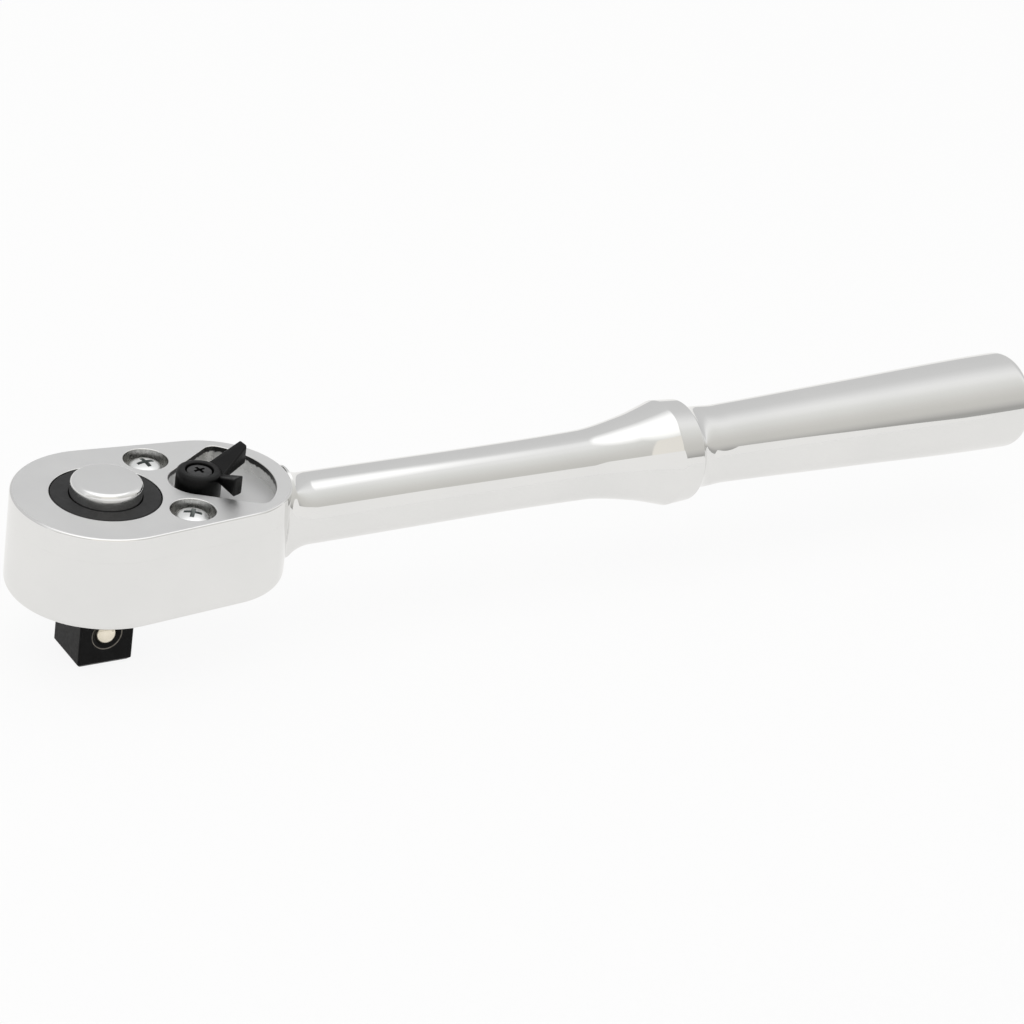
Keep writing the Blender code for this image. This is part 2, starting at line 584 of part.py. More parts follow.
def make_drive(black, rubber, steel):
    """The drive: hub ring, gear, journal and square in one piece, with its seals and washers."""
    gear_low = GEAR_TOP_DEPTH + GEAR_HEIGHT
    teeth = prism(gear_outline(0.0), height(gear_low), height(GEAR_TOP_DEPTH))
    gear = finish_mesh(teeth, "drive_gear", black)
    hub_top = FACE_GAP
    groove = HUB_RADIUS - 2 * O_RING_SECTION - CLOSE_FIT
    half = GROOVE_WIDTH / 2
    overlap = 1 * MM
    hub = [
        (0, height(GEAR_TOP_DEPTH + overlap)), (HUB_RADIUS, height(GEAR_TOP_DEPTH + overlap)),
        (HUB_RADIUS, height(HUB_GROOVE_DEPTH + half)), (groove, height(HUB_GROOVE_DEPTH + half)),
        (groove, height(HUB_GROOVE_DEPTH - half)), (HUB_RADIUS, height(HUB_GROOVE_DEPTH - half)),
        (HUB_RADIUS, height(hub_top + SMALL_CHAMFER)), (HUB_RADIUS - SMALL_CHAMFER, height(hub_top)),
        (0, height(hub_top)),
    ]
    join(gear, cutter(turned(hub, FINE_STEPS), "hub_ring"))
    journal_groove = JOURNAL_RADIUS - 2 * O_RING_SECTION - CLOSE_FIT
    journal_end = HEAD_HEIGHT + JOURNAL_REACH
    journal = [
        (0, height(journal_end)), (JOURNAL_RADIUS - SMALL_CHAMFER, height(journal_end)),
        (JOURNAL_RADIUS, height(journal_end - SMALL_CHAMFER)),
        (JOURNAL_RADIUS, height(JOURNAL_GROOVE_DEPTH + half)),
        (journal_groove, height(JOURNAL_GROOVE_DEPTH + half)),
        (journal_groove, height(JOURNAL_GROOVE_DEPTH - half)),
        (JOURNAL_RADIUS, height(JOURNAL_GROOVE_DEPTH - half)),
        (JOURNAL_RADIUS, height(gear_low - overlap)), (0, height(gear_low - overlap)),
    ]
    join(gear, cutter(turned(journal, ROUND_STEPS), "journal"))
    runout = DRIVE_EDGE_CHAMFER / 2
    square_levels = [
        (0.0, DRIVE_END_CHAMFER), (DRIVE_END_CHAMFER - runout, runout), (DRIVE_END_CHAMFER, 0.0),
        (TOP - journal_end + overlap, 0.0),
    ]
    rings = []
    for z, inset in square_levels:
        outline = square_outline(DRIVE_SQUARE - 2 * inset, max(DRIVE_EDGE_CHAMFER - 2 * inset, 0.0))
        rings.append([(x, y, z) for x, y in outline])
    join(gear, cutter(skin(rings), "square"))

    button_circle = circle(BUTTON_RADIUS + RUNNING_FIT, ROUND_STEPS)
    cut(gear, cutter(prism(button_circle, height(BUTTON_BORE_DEPTH), TOP + CUT_OVERRUN), "button_bore"))
    pin_end = BALL_DEPTH + pin_ramp_end() + PIN_TIP_LENGTH + BUTTON_TRAVEL + RUNNING_FIT
    pin_bore = prism(circle(PIN_RADIUS + RUNNING_FIT, SMALL_STEPS), height(pin_end), TOP)
    cut(gear, cutter(pin_bore, "pin_bore"))
    face = DRIVE_SQUARE / 2
    lip = face - BALL_LIP_DEPTH
    lip_radius = math.sqrt(BALL_RADIUS**2 - (lip - BALL_OUT) ** 2) + CLOSE_FIT
    bore_radius = BALL_RADIUS + RUNNING_FIT
    seat = [
        (0, 0), (bore_radius, 0), (bore_radius, lip - 0.4 * MM), (lip_radius, lip),
        (BALL_CHAMFER_RADIUS, face), (BALL_CHAMFER_RADIUS, face + CUT_OVERRUN), (0, face + CUT_OVERRUN),
    ]
    ball_bore = turned(seat, SMALL_STEPS)
    bmesh.ops.transform(ball_bore, matrix=Matrix.Rotation(math.pi / 2, 4, "X"), verts=ball_bore.verts)
    bmesh.ops.translate(ball_bore, vec=(0, 0, height(BALL_DEPTH)), verts=ball_bore.verts)
    cut(gear, cutter(ball_bore, "ball_bore"))

    inset = O_RING_SECTION + CLOSE_FIT / 2
    section = O_RING_SECTION - CLOSE_FIT / 2
    seal = o_ring(HUB_RADIUS - inset, section, height(HUB_GROOVE_DEPTH))
    seal = finish_mesh(seal, "hub_o_ring", rubber)
    drag = o_ring(JOURNAL_RADIUS - inset, section, height(JOURNAL_GROOVE_DEPTH))
    drag = finish_mesh(drag, "drive_o_ring", rubber)
    washer_top = gear_low + FACE_GAP
    washer_low = height(washer_top + THRUST_WASHER)
    washer = ring_solid(JOURNAL_RADIUS + RUNNING_FIT, THRUST_WASHER_RADIUS, washer_low, height(washer_top))
    washer = finish_mesh(washer, "thrust_washer", steel)
    wave_low = GEAR_TOP_DEPTH - FACE_GAP
    wave_high = height(wave_low - FRICTION_WASHER)
    wave = ring_solid(HUB_RADIUS + RUNNING_FIT, FRICTION_WASHER_RADIUS, height(wave_low), wave_high)
    wave = finish_mesh(wave, "friction_washer", steel)
    return [gear, seal, drag, washer, wave]


def pin_ramp_end():
    """How far under the ball's middle the pin's ramp reaches its full radius, with the ball held out."""
    tilt = math.atan(PIN_RAMP_SLOPE)
    reach = BALL_RADIUS + RUNNING_FIT * 0.7
    contact_radius = BALL_OUT - reach * math.cos(tilt)
    contact_below = reach * math.sin(tilt)
    return contact_below + (PIN_RADIUS - contact_radius) / PIN_RAMP_SLOPE


def make_release(satin, steel, spring_steel):
    """The release button, its pin with the ramp that holds the ball out, its return spring and the ball."""
    boss_end = BUTTON_SKIRT_DEPTH + 0.8 * MM
    pin_bore = PIN_RADIUS + CLOSE_FIT
    top = height(-BUTTON_RISE)
    crown = arc((BUTTON_RADIUS - BUTTON_ROUND, top - BUTTON_ROUND), BUTTON_ROUND, math.pi / 2, 0, ARC_STEPS)
    profile = [(0, top)] + crown + [
        (BUTTON_RADIUS, height(BUTTON_SKIRT_DEPTH)), (BUTTON_POCKET_RADIUS, height(BUTTON_SKIRT_DEPTH)),
        (BUTTON_POCKET_RADIUS, height(BUTTON_POCKET_DEPTH)),
        (BUTTON_BOSS_RADIUS, height(BUTTON_POCKET_DEPTH)),
        (BUTTON_BOSS_RADIUS, height(boss_end)), (pin_bore, height(boss_end)),
        (pin_bore, height(PIN_TOP_DEPTH - FACE_GAP)), (0, height(PIN_TOP_DEPTH - FACE_GAP)),
    ]
    button = finish_mesh(turned(profile, ROUND_STEPS), "release_button", satin)

    ramp_end = BALL_DEPTH + pin_ramp_end()
    ramp_start = ramp_end - (PIN_RADIUS - PIN_NECK_RADIUS) / PIN_RAMP_SLOPE
    pin_end = ramp_end + PIN_TIP_LENGTH
    collar = BALL_DEPTH - BALL_RADIUS - BUTTON_TRAVEL
    pin = [
        (0, height(pin_end)), (PIN_RADIUS - SMALL_CHAMFER, height(pin_end)),
        (PIN_RADIUS, height(pin_end - SMALL_CHAMFER)), (PIN_RADIUS, height(ramp_end)),
        (PIN_NECK_RADIUS, height(ramp_start)), (PIN_NECK_RADIUS, height(collar + 0.5 * MM)),
        (PIN_RADIUS, height(collar)), (PIN_RADIUS, height(PIN_TOP_DEPTH)), (0, height(PIN_TOP_DEPTH)),
    ]
    pin = finish_mesh(turned(pin, SMALL_STEPS), "release_pin", steel)

    spring_low = BUTTON_BORE_DEPTH - BUTTON_SPRING_WIRE - RUNNING_FIT
    spring_high = BUTTON_POCKET_DEPTH + BUTTON_SPRING_WIRE + RUNNING_FIT
    spring = helix(
        "button_spring", BUTTON_SPRING_RADIUS, BUTTON_SPRING_WIRE, BUTTON_SPRING_TURNS,
        height(spring_low), spring_low - spring_high, spring_steel,
    )

    half_turn = [(BALL_RADIUS * math.sin(a), BALL_RADIUS * -math.cos(a)) for a in
                 [math.pi * k / 12 for k in range(13)]]
    half_turn[0] = (0, -BALL_RADIUS)
    half_turn[-1] = (0, BALL_RADIUS)
    ball = finish_mesh(turned(half_turn, SMALL_STEPS), "socket_ball", steel)
    ball.location = (0, -BALL_OUT, height(BALL_DEPTH))
    return [button, pin, spring], ball


def wings_mesh():
    """The lever's two thumb wings about +X, rising outwards from the hub's side, notched between."""
    inside = LEVER_HUB_RADIUS * WING_ROOT_SHARE
    sides = []
    for root_angle, side in ((FAR_WING_ROOT_ANGLE, 1), (NEAR_WING_ROOT_ANGLE, -1)):
        corners = (
            (inside, root_angle / 2),
            (LEVER_HUB_RADIUS - CLOSE_FIT, root_angle),
            (WING_OUTER_RADIUS, WING_OUTER_ANGLE),
            (WING_INNER_RADIUS, WING_INNER_ANGLE),
        )
        sides.append([(radius * math.cos(a), side * radius * math.sin(a)) for radius, a in corners])
    far, near = sides
    outline = [(inside, 0.0)] + far + [(WING_NOTCH_X, 0.0)] + near[::-1]
    bm = bmesh.new()
    loops = []
    for rise, slope in ((WING_UNDERSIDE, WING_UNDERSIDE_SLOPE), (WING_RISE, WING_TOP_SLOPE)):
        loop = []
        for x, y in outline:
            out = x * math.cos(WING_SLOPE_ANGLE) + abs(y) * math.sin(WING_SLOPE_ANGLE)
            loop.append(bm.verts.new((x, y, height(-rise - slope * out))))
        loops.append(loop)
    notch = len(far) + 1
    for loop in loops:
        bm.faces.new(loop[: notch + 1])
        bm.faces.new([loop[0]] + loop[notch:])
    for k in range(len(outline)):
        n = (k + 1) % len(outline)
        bm.faces.new((loops[0][k], loops[0][n], loops[1][n], loops[1][k]))
    bmesh.ops.recalc_face_normals(bm, faces=bm.faces)
    reach = (WING_NOTCH_X + WING_INNER_RADIUS) / 2
    edges = [e for e in bm.edges if max(v.co.xy.length for v in e.verts) > reach]
    bmesh.ops.bevel(bm, geom=edges, offset=WING_BEVEL, segments=2, profile=0.5, affect="EDGES")
    return bm


def make_lever(black, steel, rubber, spring_steel):
    """The reversing lever with its screw, spindle and the spring plunger inside the spindle."""
    hub_top = -LEVER_HUB_RISE
    seat = hub_top + LEVER_SEAT_DEPTH
    base = height(LEVER_BASE_DEPTH)
    rim = (LEVER_HUB_RADIUS - LEVER_HUB_ROUND, height(hub_top) - LEVER_HUB_ROUND)
    hole_radius = LEVER_SCREW_RADIUS + RUNNING_FIT
    seat_radius = LEVER_SCREW_HEAD_RADIUS + LEVER_SEAT_GAP
    profile = [(hole_radius, base), (LEVER_HUB_RADIUS, base)]
    profile += arc(rim, LEVER_HUB_ROUND, 0, math.pi / 2, ARC_STEPS)
    profile += [(seat_radius, height(hub_top)), (seat_radius, height(seat)), (hole_radius, height(seat))]
    lever = finish_mesh(turned(profile, ROUND_STEPS, closed=True), "reversing_lever", black)
    wings = cutter(wings_mesh(), "lever_wings")
    wings.parent = lever
    join(lever, wings)
    socket_top = seat + LEVER_SOCKET_ROOF
    socket = square_outline(SPINDLE_SQUARE + 2 * CLOSE_FIT, SMALL_CHAMFER)
    socket = cutter(prism(socket, base - CUT_OVERRUN, height(socket_top)), "lever_socket")
    socket.parent = lever
    cut(lever, socket)

    dome = LEVER_SCREW_HEAD * LEVER_SCREW_DOME_SHARE
    profile = screw_profile(
        LEVER_SCREW_HEAD_RADIUS, LEVER_SCREW_HEAD, dome, LEVER_SCREW_RADIUS, LEVER_SCREW_LENGTH
    )
    screw = make_screw(
        "lever_screw", profile, LEVER_SCREW_HEAD,
        LEVER_CROSS_SPAN, LEVER_CROSS_SLOT, LEVER_CROSS_DEPTH, black,
    )
    screw.location.z = height(seat) + FACE_GAP
    screw.rotation_euler.z = LEVER_SCREW_TURN

    hub_low = PAWL_BOTTOM_DEPTH
    pivot_end = hub_low + SPINDLE_PIVOT_LENGTH
    spindle_profile = [
        (0, height(pivot_end)), (SPINDLE_PIVOT_RADIUS, height(pivot_end)),
        (SPINDLE_PIVOT_RADIUS, height(hub_low)), (SPINDLE_HUB_RADIUS, height(hub_low)),
        (SPINDLE_HUB_RADIUS, height(SPINDLE_HUB_DEPTH)), (SPINDLE_JOURNAL_RADIUS, height(SPINDLE_HUB_DEPTH)),
        (SPINDLE_JOURNAL_RADIUS, base - FACE_GAP), (0, base - FACE_GAP),
    ]
    spindle = finish_mesh(turned(spindle_profile, SMALL_STEPS), "lever_spindle", steel)
    tongue = square_outline(SPINDLE_SQUARE, SMALL_CHAMFER)
    tongue = cutter(prism(tongue, base - 1 * MM, height(socket_top + FACE_GAP)), "spindle_tongue")
    tapped = circle(LEVER_SCREW_RADIUS + CLOSE_FIT, SMALL_STEPS)
    tapped_end = seat + LEVER_SCREW_LENGTH + TAPPED_RUNOUT
    tapped = prism(tapped, height(tapped_end), height(socket_top) + CUT_OVERRUN)
    tapped = cutter(tapped, "spindle_tapped_hole")
    bore_floor = -SPINDLE_HUB_RADIUS + 1.0 * MM
    bore_radius = PLUNGER_RADIUS + CLOSE_FIT
    cross_bore = prism(circle(bore_radius, SMALL_STEPS), bore_floor, SPINDLE_HUB_RADIUS + CUT_OVERRUN)
    to_x = Matrix.Rotation(math.pi / 2, 4, "Y")
    bmesh.ops.transform(cross_bore, matrix=to_x, verts=cross_bore.verts)
    bmesh.ops.translate(cross_bore, vec=(0, 0, height(PLUNGER_DEPTH)), verts=cross_bore.verts)
    cross_bore = cutter(cross_bore, "plunger_bore")
    join(spindle, tongue)
    for tool in (tapped, cross_bore):
        cut(spindle, tool)
    for tool in (tongue, tapped, cross_bore):
        tool.parent = spindle

    tip = SPINDLE_HUB_RADIUS + FACE_GAP
    plunger_profile = [(0, tip - PLUNGER_LENGTH), (PLUNGER_RADIUS, tip - PLUNGER_LENGTH)]
    for k in range(4):
        a = math.pi / 2 * k / 4
        nose = tip - PLUNGER_RADIUS * 0.6 * (1 - math.sin(a))
        plunger_profile.append((PLUNGER_RADIUS * math.cos(a), nose))
    plunger_profile.append((0, tip))
    plunger = turned(plunger_profile, SMALL_STEPS)
    bmesh.ops.transform(plunger, matrix=to_x, verts=plunger.verts)
    plunger = finish_mesh(plunger, "detent_plunger", steel)
    plunger.location.z = height(PLUNGER_DEPTH)

    spring_start = bore_floor + PLUNGER_SPRING_WIRE + FACE_GAP
    spring_length = tip - PLUNGER_LENGTH - PLUNGER_SPRING_WIRE - FACE_GAP - spring_start
    spring = helix(
        "detent_spring", PLUNGER_SPRING_RADIUS, PLUNGER_SPRING_WIRE, PLUNGER_SPRING_TURNS,
        spring_start, spring_length, spring_steel,
    )
    spring.rotation_euler.y = math.pi / 2
    spring.location.z = height(PLUNGER_DEPTH)

    web = (OPENING_DEPTH + COVER_THICKNESS) / 2
    section = O_RING_SECTION * 0.72
    seal_radius = SPINDLE_JOURNAL_RADIUS + RUNNING_FIT + section
    seal = finish_mesh(o_ring(seal_radius, section, height(web), SMALL_STEPS), "lever_o_ring", rubber)
    return [lever, screw, spindle, plunger, spring], seal


def make_pawl(steel):
    """The rocking pawl: an eye on the spindle with a toothed horn either side, level with the gear's top."""
    low, high = height(PAWL_BOTTOM_DEPTH), height(PAWL_TOP_DEPTH)
    start, end = math.pi - PAWL_HALF_ANGLE, math.pi + PAWL_HALF_ANGLE
    outline = arc((0, 0), PAWL_REACH, start, end, 24)
    outline += arc((0, 0), PAWL_EYE_RADIUS, end, start + 2 * math.pi, 24)
    pawl = finish_mesh(prism(outline, low, high), "pawl", steel)
    over, under = high + CUT_OVERRUN, low - CUT_OVERRUN
    tools = [cutter(prism(circle(SPINDLE_HUB_RADIUS + RUNNING_FIT, ROUND_STEPS), under, over), "pawl_bore")]
    for side in (-1, 1):
        notch = circle(PLUNGER_RADIUS, SMALL_STEPS)
        place = SPINDLE_HUB_RADIUS - PLUNGER_RADIUS * 0.4
        turn = side * LEVER_REST_ANGLE
        notch = [(x + place * math.cos(turn), y + place * math.sin(turn)) for x, y in notch]
        tools.append(cutter(prism(notch, under, over), f"pawl_notch_{side + 1}"))
    crest = circle(GEAR_TIP_RADIUS + PAWL_CREST_CLEARANCE, FINE_STEPS, (-LEVER_X, 0))
    tools.append(cutter(prism(crest, under, over), "crest_clearance"))
    for side in (-1, 1):
        bm = prism(gear_outline(PAWL_TOOTH_CLEARANCE), under, over)
        bmesh.ops.translate(bm, vec=(-LEVER_X, 0, 0), verts=bm.verts)
        bmesh.ops.rotate(bm, matrix=Matrix.Rotation(side * PAWL_ROCK, 3, "Z"), verts=bm.verts)
        tools.append(cutter(bm, f"pawl_teeth_{side + 1}"))
    for tool in tools:
        tool.parent = pawl
        cut(pawl, tool)
    return pawl


def main():
    for obj in list(bpy.data.objects):
        bpy.data.objects.remove(obj)

    chrome = principled("polished_chrome", (0.86, 0.86, 0.85), 0.06, 1.0)
    satin = principled("satin_chrome", (0.66, 0.66, 0.66), 0.32, 1.0)
    black = principled("black_oxide", (0.02, 0.02, 0.021), 0.42, 0.6)
    black_lever = principled("black_lever", (0.022, 0.022, 0.024), 0.5, 0.0)
    zinc = principled("bright_zinc", (0.82, 0.82, 0.8), 0.18, 1.0)
    steel = principled("hardened_steel", (0.55, 0.54, 0.52), 0.3, 1.0)
    ball_steel = principled("ball_steel", (0.85, 0.82, 0.74), 0.12, 1.0)
    spring_steel = principled("spring_steel", (0.4, 0.4, 0.41), 0.35, 1.0)
    rubber = principled("black_rubber", (0.015, 0.015, 0.015), 0.7, 0.0)

    make_body(chrome)
    make_cover(satin)
    make_cover_screws(zinc)

    drive_axis = empty("drive_axis", (0, 0, 0))
    hang(drive_axis, *make_drive(black, rubber, steel))
    pressed, ball = make_release(satin, steel, spring_steel)
    hang(drive_axis, *pressed, ball)
    ball.data.materials[0] = ball_steel

    lever_axis = empty("lever_axis", (LEVER_X, 0, 0), LEVER_REST_ANGLE)
    turning, seal = make_lever(black_lever, steel, rubber, spring_steel)
    hang(lever_axis, *turning)
    pawl_axis = empty("pawl_axis", (LEVER_X, 0, 0))
    hang(pawl_axis, make_pawl(steel), seal)


main()
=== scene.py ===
"""Looks of the quick-release ratchet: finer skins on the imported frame, finishes, studio and camera.

The frame has its origin at the middle of the drive square's end face, +Z up the drive axis and +X along
the handle, in metres. Every skin here repeats its CAD solid's sizes with finer rounds and softer edges.
"""

import math

import bmesh
import bpy
from mathutils import Matrix, Vector


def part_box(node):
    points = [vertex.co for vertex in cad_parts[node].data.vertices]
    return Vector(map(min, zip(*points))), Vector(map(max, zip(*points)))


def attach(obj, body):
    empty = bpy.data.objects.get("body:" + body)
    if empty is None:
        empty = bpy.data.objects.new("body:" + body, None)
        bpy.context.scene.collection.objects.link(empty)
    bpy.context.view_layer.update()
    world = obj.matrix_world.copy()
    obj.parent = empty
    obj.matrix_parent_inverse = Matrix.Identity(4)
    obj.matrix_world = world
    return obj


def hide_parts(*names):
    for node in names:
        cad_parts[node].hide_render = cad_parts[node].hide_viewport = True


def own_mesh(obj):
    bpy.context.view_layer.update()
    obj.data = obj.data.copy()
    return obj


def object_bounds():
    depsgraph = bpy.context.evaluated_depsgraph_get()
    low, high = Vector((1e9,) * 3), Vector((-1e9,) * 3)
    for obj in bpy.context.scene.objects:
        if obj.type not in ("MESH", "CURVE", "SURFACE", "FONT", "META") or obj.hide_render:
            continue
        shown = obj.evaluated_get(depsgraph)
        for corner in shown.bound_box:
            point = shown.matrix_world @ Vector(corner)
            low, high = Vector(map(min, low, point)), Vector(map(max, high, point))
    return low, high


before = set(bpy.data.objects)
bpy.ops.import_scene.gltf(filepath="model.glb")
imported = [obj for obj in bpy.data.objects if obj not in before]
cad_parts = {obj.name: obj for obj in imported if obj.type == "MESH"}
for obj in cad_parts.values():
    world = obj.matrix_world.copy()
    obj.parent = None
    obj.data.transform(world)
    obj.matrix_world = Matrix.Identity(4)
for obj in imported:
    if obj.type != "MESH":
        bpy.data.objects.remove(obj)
cad_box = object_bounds()

MM = 0.001

# Heights and the handle's end, read from the frame or taken down from the cover's top
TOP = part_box("cover_plate")[1].z
COVER_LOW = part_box("cover_plate")[0].z
HEAD_LOW = TOP - 16.8 * MM
BUTTON_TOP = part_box("release_button")[1].z
BUTTON_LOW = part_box("release_button")[0].z
HUB_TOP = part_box("drive_gear")[1].z
HANDLE_END_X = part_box("ratchet_body")[1].x

# Head: two circles joined by their tangents
HEAD_FRONT_RADIUS = -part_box("cover_plate")[0].x
HEAD_REAR_RADIUS = 13.4 * MM
HEAD_REAR_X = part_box("cover_plate")[1].x - HEAD_REAR_RADIUS
HEAD_BOTTOM_ROUND = 1.6 * MM
COVER_SEAM = 0.004 * MM
COVER_CHAMFER = 0.45 * MM
EDGE_BREAK = 0.14 * MM
POCKET_LOW = TOP - 11.5 * MM
GEAR_POCKET_RADIUS = 10.75 * MM
PAWL_POCKET_RADIUS = 7.8 * MM

# Handle, on one straight axis
HANDLE_AXIS_Z = TOP - 8.4 * MM
HANDLE_START_X = HEAD_REAR_X + 7.7 * MM
NECK_START_X = 36.5 * MM
NECK_RADIUS = 6.05 * MM
NECK_SHELF_RADIUS = 8.2 * MM
NECK_TOP_FILLET = 5.0 * MM
NECK_SIDE_FILLET = 3.0 * MM
SWELL = ((90.0 * MM, NECK_RADIUS), (99.5 * MM, 7.4 * MM))
RIDGE_X = 106.4 * MM
RIDGE_RADIUS = 9.25 * MM
RIDGE_SLOPE = 0.3
RIDGE_ROUND = 0.3 * MM
RIM_X = 110.8 * MM
RIM_RADIUS = 8.95 * MM
RIM_ROUND = 0.4 * MM
GRIP_FOOT_X = 114.4 * MM
GRIP_FOOT_RADIUS = 7.15 * MM
GRIP = ((119.0 * MM, 6.95 * MM), (145.0 * MM, 7.75 * MM))
GRIP_END_RADIUS = 8.75 * MM
HANDLE_END_ROUND = 2.4 * MM

# Drive and quick release
DRIVE_SQUARE = 9.525 * MM
DRIVE_EDGE_ROUND = 0.3 * MM
DRIVE_LEAST_ROUND = 0.03 * MM
DRIVE_END_CHAMFER = 0.6 * MM
DRIVE_LAP = 1.0 * MM
HUB_RADIUS = 8.95 * MM
HUB_ROUND = 0.3 * MM
GROOVE_RADIUS = HUB_RADIUS - 0.92 * MM
GROOVE_Z = TOP - 2.9 * MM
GROOVE_HALF_WIDTH = 0.5 * MM
RING_DEPTH = 1.0 * MM
JOURNAL_RADIUS = 6.8 * MM
JOURNAL_LOW = HEAD_LOW - 0.2 * MM
JOURNAL_CHAMFER = 0.3 * MM
GEAR_TEETH = 36
GEAR_TIP_RADIUS = 10.2 * MM
GEAR_ROOT_RADIUS = 9.4 * MM
TOOTH_TIP_SHARE = 0.08
TOOTH_ROOT_SHARE = 0.42
GEAR_TOP = TOP - 4.6 * MM
GEAR_LOW = GEAR_TOP - 6.3 * MM
BUTTON_RADIUS = 5.85 * MM
BUTTON_ROUND = 1.0 * MM
BUTTON_CROWN = 0.12 * MM
BUTTON_POCKET_TOP = TOP - 1.0 * MM
BUTTON_SKIRT_LOW = TOP - 3.6 * MM
BUTTON_SKIRT_BORE = 4.9 * MM
BUTTON_STEM_RADIUS = 2.7 * MM
BUTTON_BORE_LOW = TOP - 7.2 * MM
BUTTON_BORE_ROUND = 0.2 * MM
PIN_SOCKET_RADIUS = 1.76 * MM
PIN_SOCKET_TOP = TOP + 0.95 * MM
PIN_BORE_RADIUS = 1.8 * MM
PIN_BORE_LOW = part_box("release_pin")[0].z - 2.1 * MM
BALL_RADIUS = 2.0 * MM
BALL_CENTER = (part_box("socket_ball")[0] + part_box("socket_ball")[1]) / 2
BALL_CHAMFER_RADIUS = 2.7 * MM
BALL_LIP_DEPTH = 0.4 * MM
BALL_LIP_PLAY = 0.06 * MM
BALL_LIP_TAPER = 0.4 * MM
RUBBED_SHARE = 0.2

# Lever. The wings' corners are (radius, angle), their faces (height at the axis, slope outwards)
LEVER_X = 16.4 * MM
LEVER_REST_ANGLE = math.radians(-30.0)
LEVER_BASE = TOP - 2.4 * MM
LEVER_HUB_RADIUS = 3.75 * MM
LEVER_HUB_TOP = TOP + 1.9 * MM
LEVER_HUB_ROUND = 0.7 * MM
LEVER_HOLE_RADIUS = 1.3 * MM
LEVER_SEAT_RADIUS = 2.35 * MM
LEVER_SEAT = LEVER_HUB_TOP - 1.2 * MM
LEVER_SOCKET = (3.42 * MM, 0.3 * MM)
LEVER_SOCKET_TOP = LEVER_SEAT - 0.6 * MM
WING_OUTER = (9.15 * MM, math.radians(49.5))
WING_INNER = (8.95 * MM, math.radians(36.7))
WING_NOTCH_X = 4.2 * MM
WING_INSIDE = 2.89 * MM
WING_ROOT_RADIUS = 3.69 * MM
FAR_WING_ROOT_ANGLE = math.radians(75.0)
NEAR_WING_ROOT_ANGLE = math.radians(27.0)
WING_TOP = (-0.1 * MM, 0.515)
WING_UNDERSIDE = (0.07 * MM, 0.12)
WING_SLOPE_ANGLE = math.radians(38.0)
WING_BEVEL = 0.34 * MM

# The lever's opening in the cover, its wall painted dark along the top as a painted reflection
OPENING_FLOOR = TOP - 2.7 * MM
OPENING_LOBE_RADIUS = 4.95 * MM
OPENING_RADIUS = 12.65 * MM
OPENING_HALF_ANGLE = math.radians(33.5)
OPENING_CORNER = 2.0 * MM
SPINDLE_HOLE_RADIUS = 2.5 * MM
PAINTED_REFLECTION_DEPTH = 1.0 * MM
PAINTED_REFLECTION_FADE = 0.5 * MM
PAINTED_REFLECTION_RAGGEDNESS = 1.6

# Screws: head radius, height and dome's share; thread radius and length; recess span, slot and depth
COVER_SCREW_X = 11.15 * MM
COVER_SCREW_Y = 8.85 * MM
COUNTERBORE_RADIUS = 3.7 * MM
COUNTERBORE_FLOOR = TOP - 2.3 * MM
SCREW_HOLE_RADIUS = 1.6 * MM
COVER_SCREW_HEAD = (2.75 * MM, 1.85 * MM, 0.6)
COVER_SCREW_THREAD = (1.5 * MM, 8.0 * MM)
COVER_SCREW_RECESS = (3.2 * MM, 0.7 * MM, 1.0 * MM)
FAR_SCREW_TURN = 0.1
NEAR_SCREW_TURN = 1.0
LEVER_SCREW_HEAD = (2.05 * MM, 1.1 * MM, 0.25)
LEVER_SCREW_THREAD = (1.2 * MM, 5.2 * MM)
LEVER_SCREW_RECESS = (2.1 * MM, 0.5 * MM, 0.7 * MM)
LEVER_SCREW_TURN = math.radians(41.0)
# Shares of a thread's radius, a recess's plan and its depth
TIP_RADIUS_SHARE = 0.75
TIP_CHAMFER_SHARE = 0.5
RECESS_FLOOR_SHARE = 0.55
RECESS_FLOOR_SLOT_SHARE = 1.5
RECESS_MOUTH_SHARE = 1.12
RECESS_MOUTH_RISE = 0.25
# Shares of the recess's depth and span that bound the faces given the painted recess shade
RECESS_RIM = 0.12
RECESS_DEEP = 0.6
RECESS_REACH = 0.62

# Springs: coil radius, wire radius and turns
BUTTON_SPRING = (3.8 * MM, 0.35 * MM, 4.0)
DETENT_SPRING = (0.8 * MM, 0.14 * MM, 3.0)
DETENT_SPRING_ENDS = (-2.12 * MM, 1.48 * MM)

RUNNING_FIT = 0.1 * MM
FACE_GAP = 0.05 * MM
OVERRUN = 1.0 * MM
SAME_PLACE = 0.01 * MM
SAME_LEVEL = 0.001 * MM
SAME_POINT = 1e-8
ON_AXIS = 1e-9

# How upright or level a face is, by its normal's height
UPRIGHT = 0.1
STEEP = 0.9
LEVEL = 0.99

ROUND_STEPS = 144
SMALL_STEPS = 72
COIL_STEPS = 40
WIRE_STEPS = 12

# Material slots of the pieces that have more than one finish
TOP_SLOT, RIM_SLOT, BORE_SLOT, PAINTED_REFLECTION_SLOT = range(4)
RING_SLOT, WORN_SLOT = 1, 2
RECESS_SLOT = 1


def arc(center, radius, start, end, steps):
    """Points on a circular arc, both ends included."""
    angles = [start + (end - start) * k / steps for k in range(steps + 1)]
    return [(center[0] + radius * math.cos(a), center[1] + radius * math.sin(a)) for a in angles]


def circle(radius, steps, center=(0.0, 0.0)):
    return arc(center, radius, 0.0, 2 * math.pi, steps)[:-1]


def round_hole(radius, steps, center=(0.0, 0.0)):
    """A circle's outline for each inset that it is drawn in by."""
    return lambda inset: circle(radius - inset, steps, center)


def quarter_round(steps, first=0):
    """(sine, 1 - cosine) at even steps through a quarter turn."""
    angles = [math.pi / 2 * k / steps for k in range(first, steps + 1)]
    return [(math.sin(a), 1 - math.cos(a)) for a in angles]


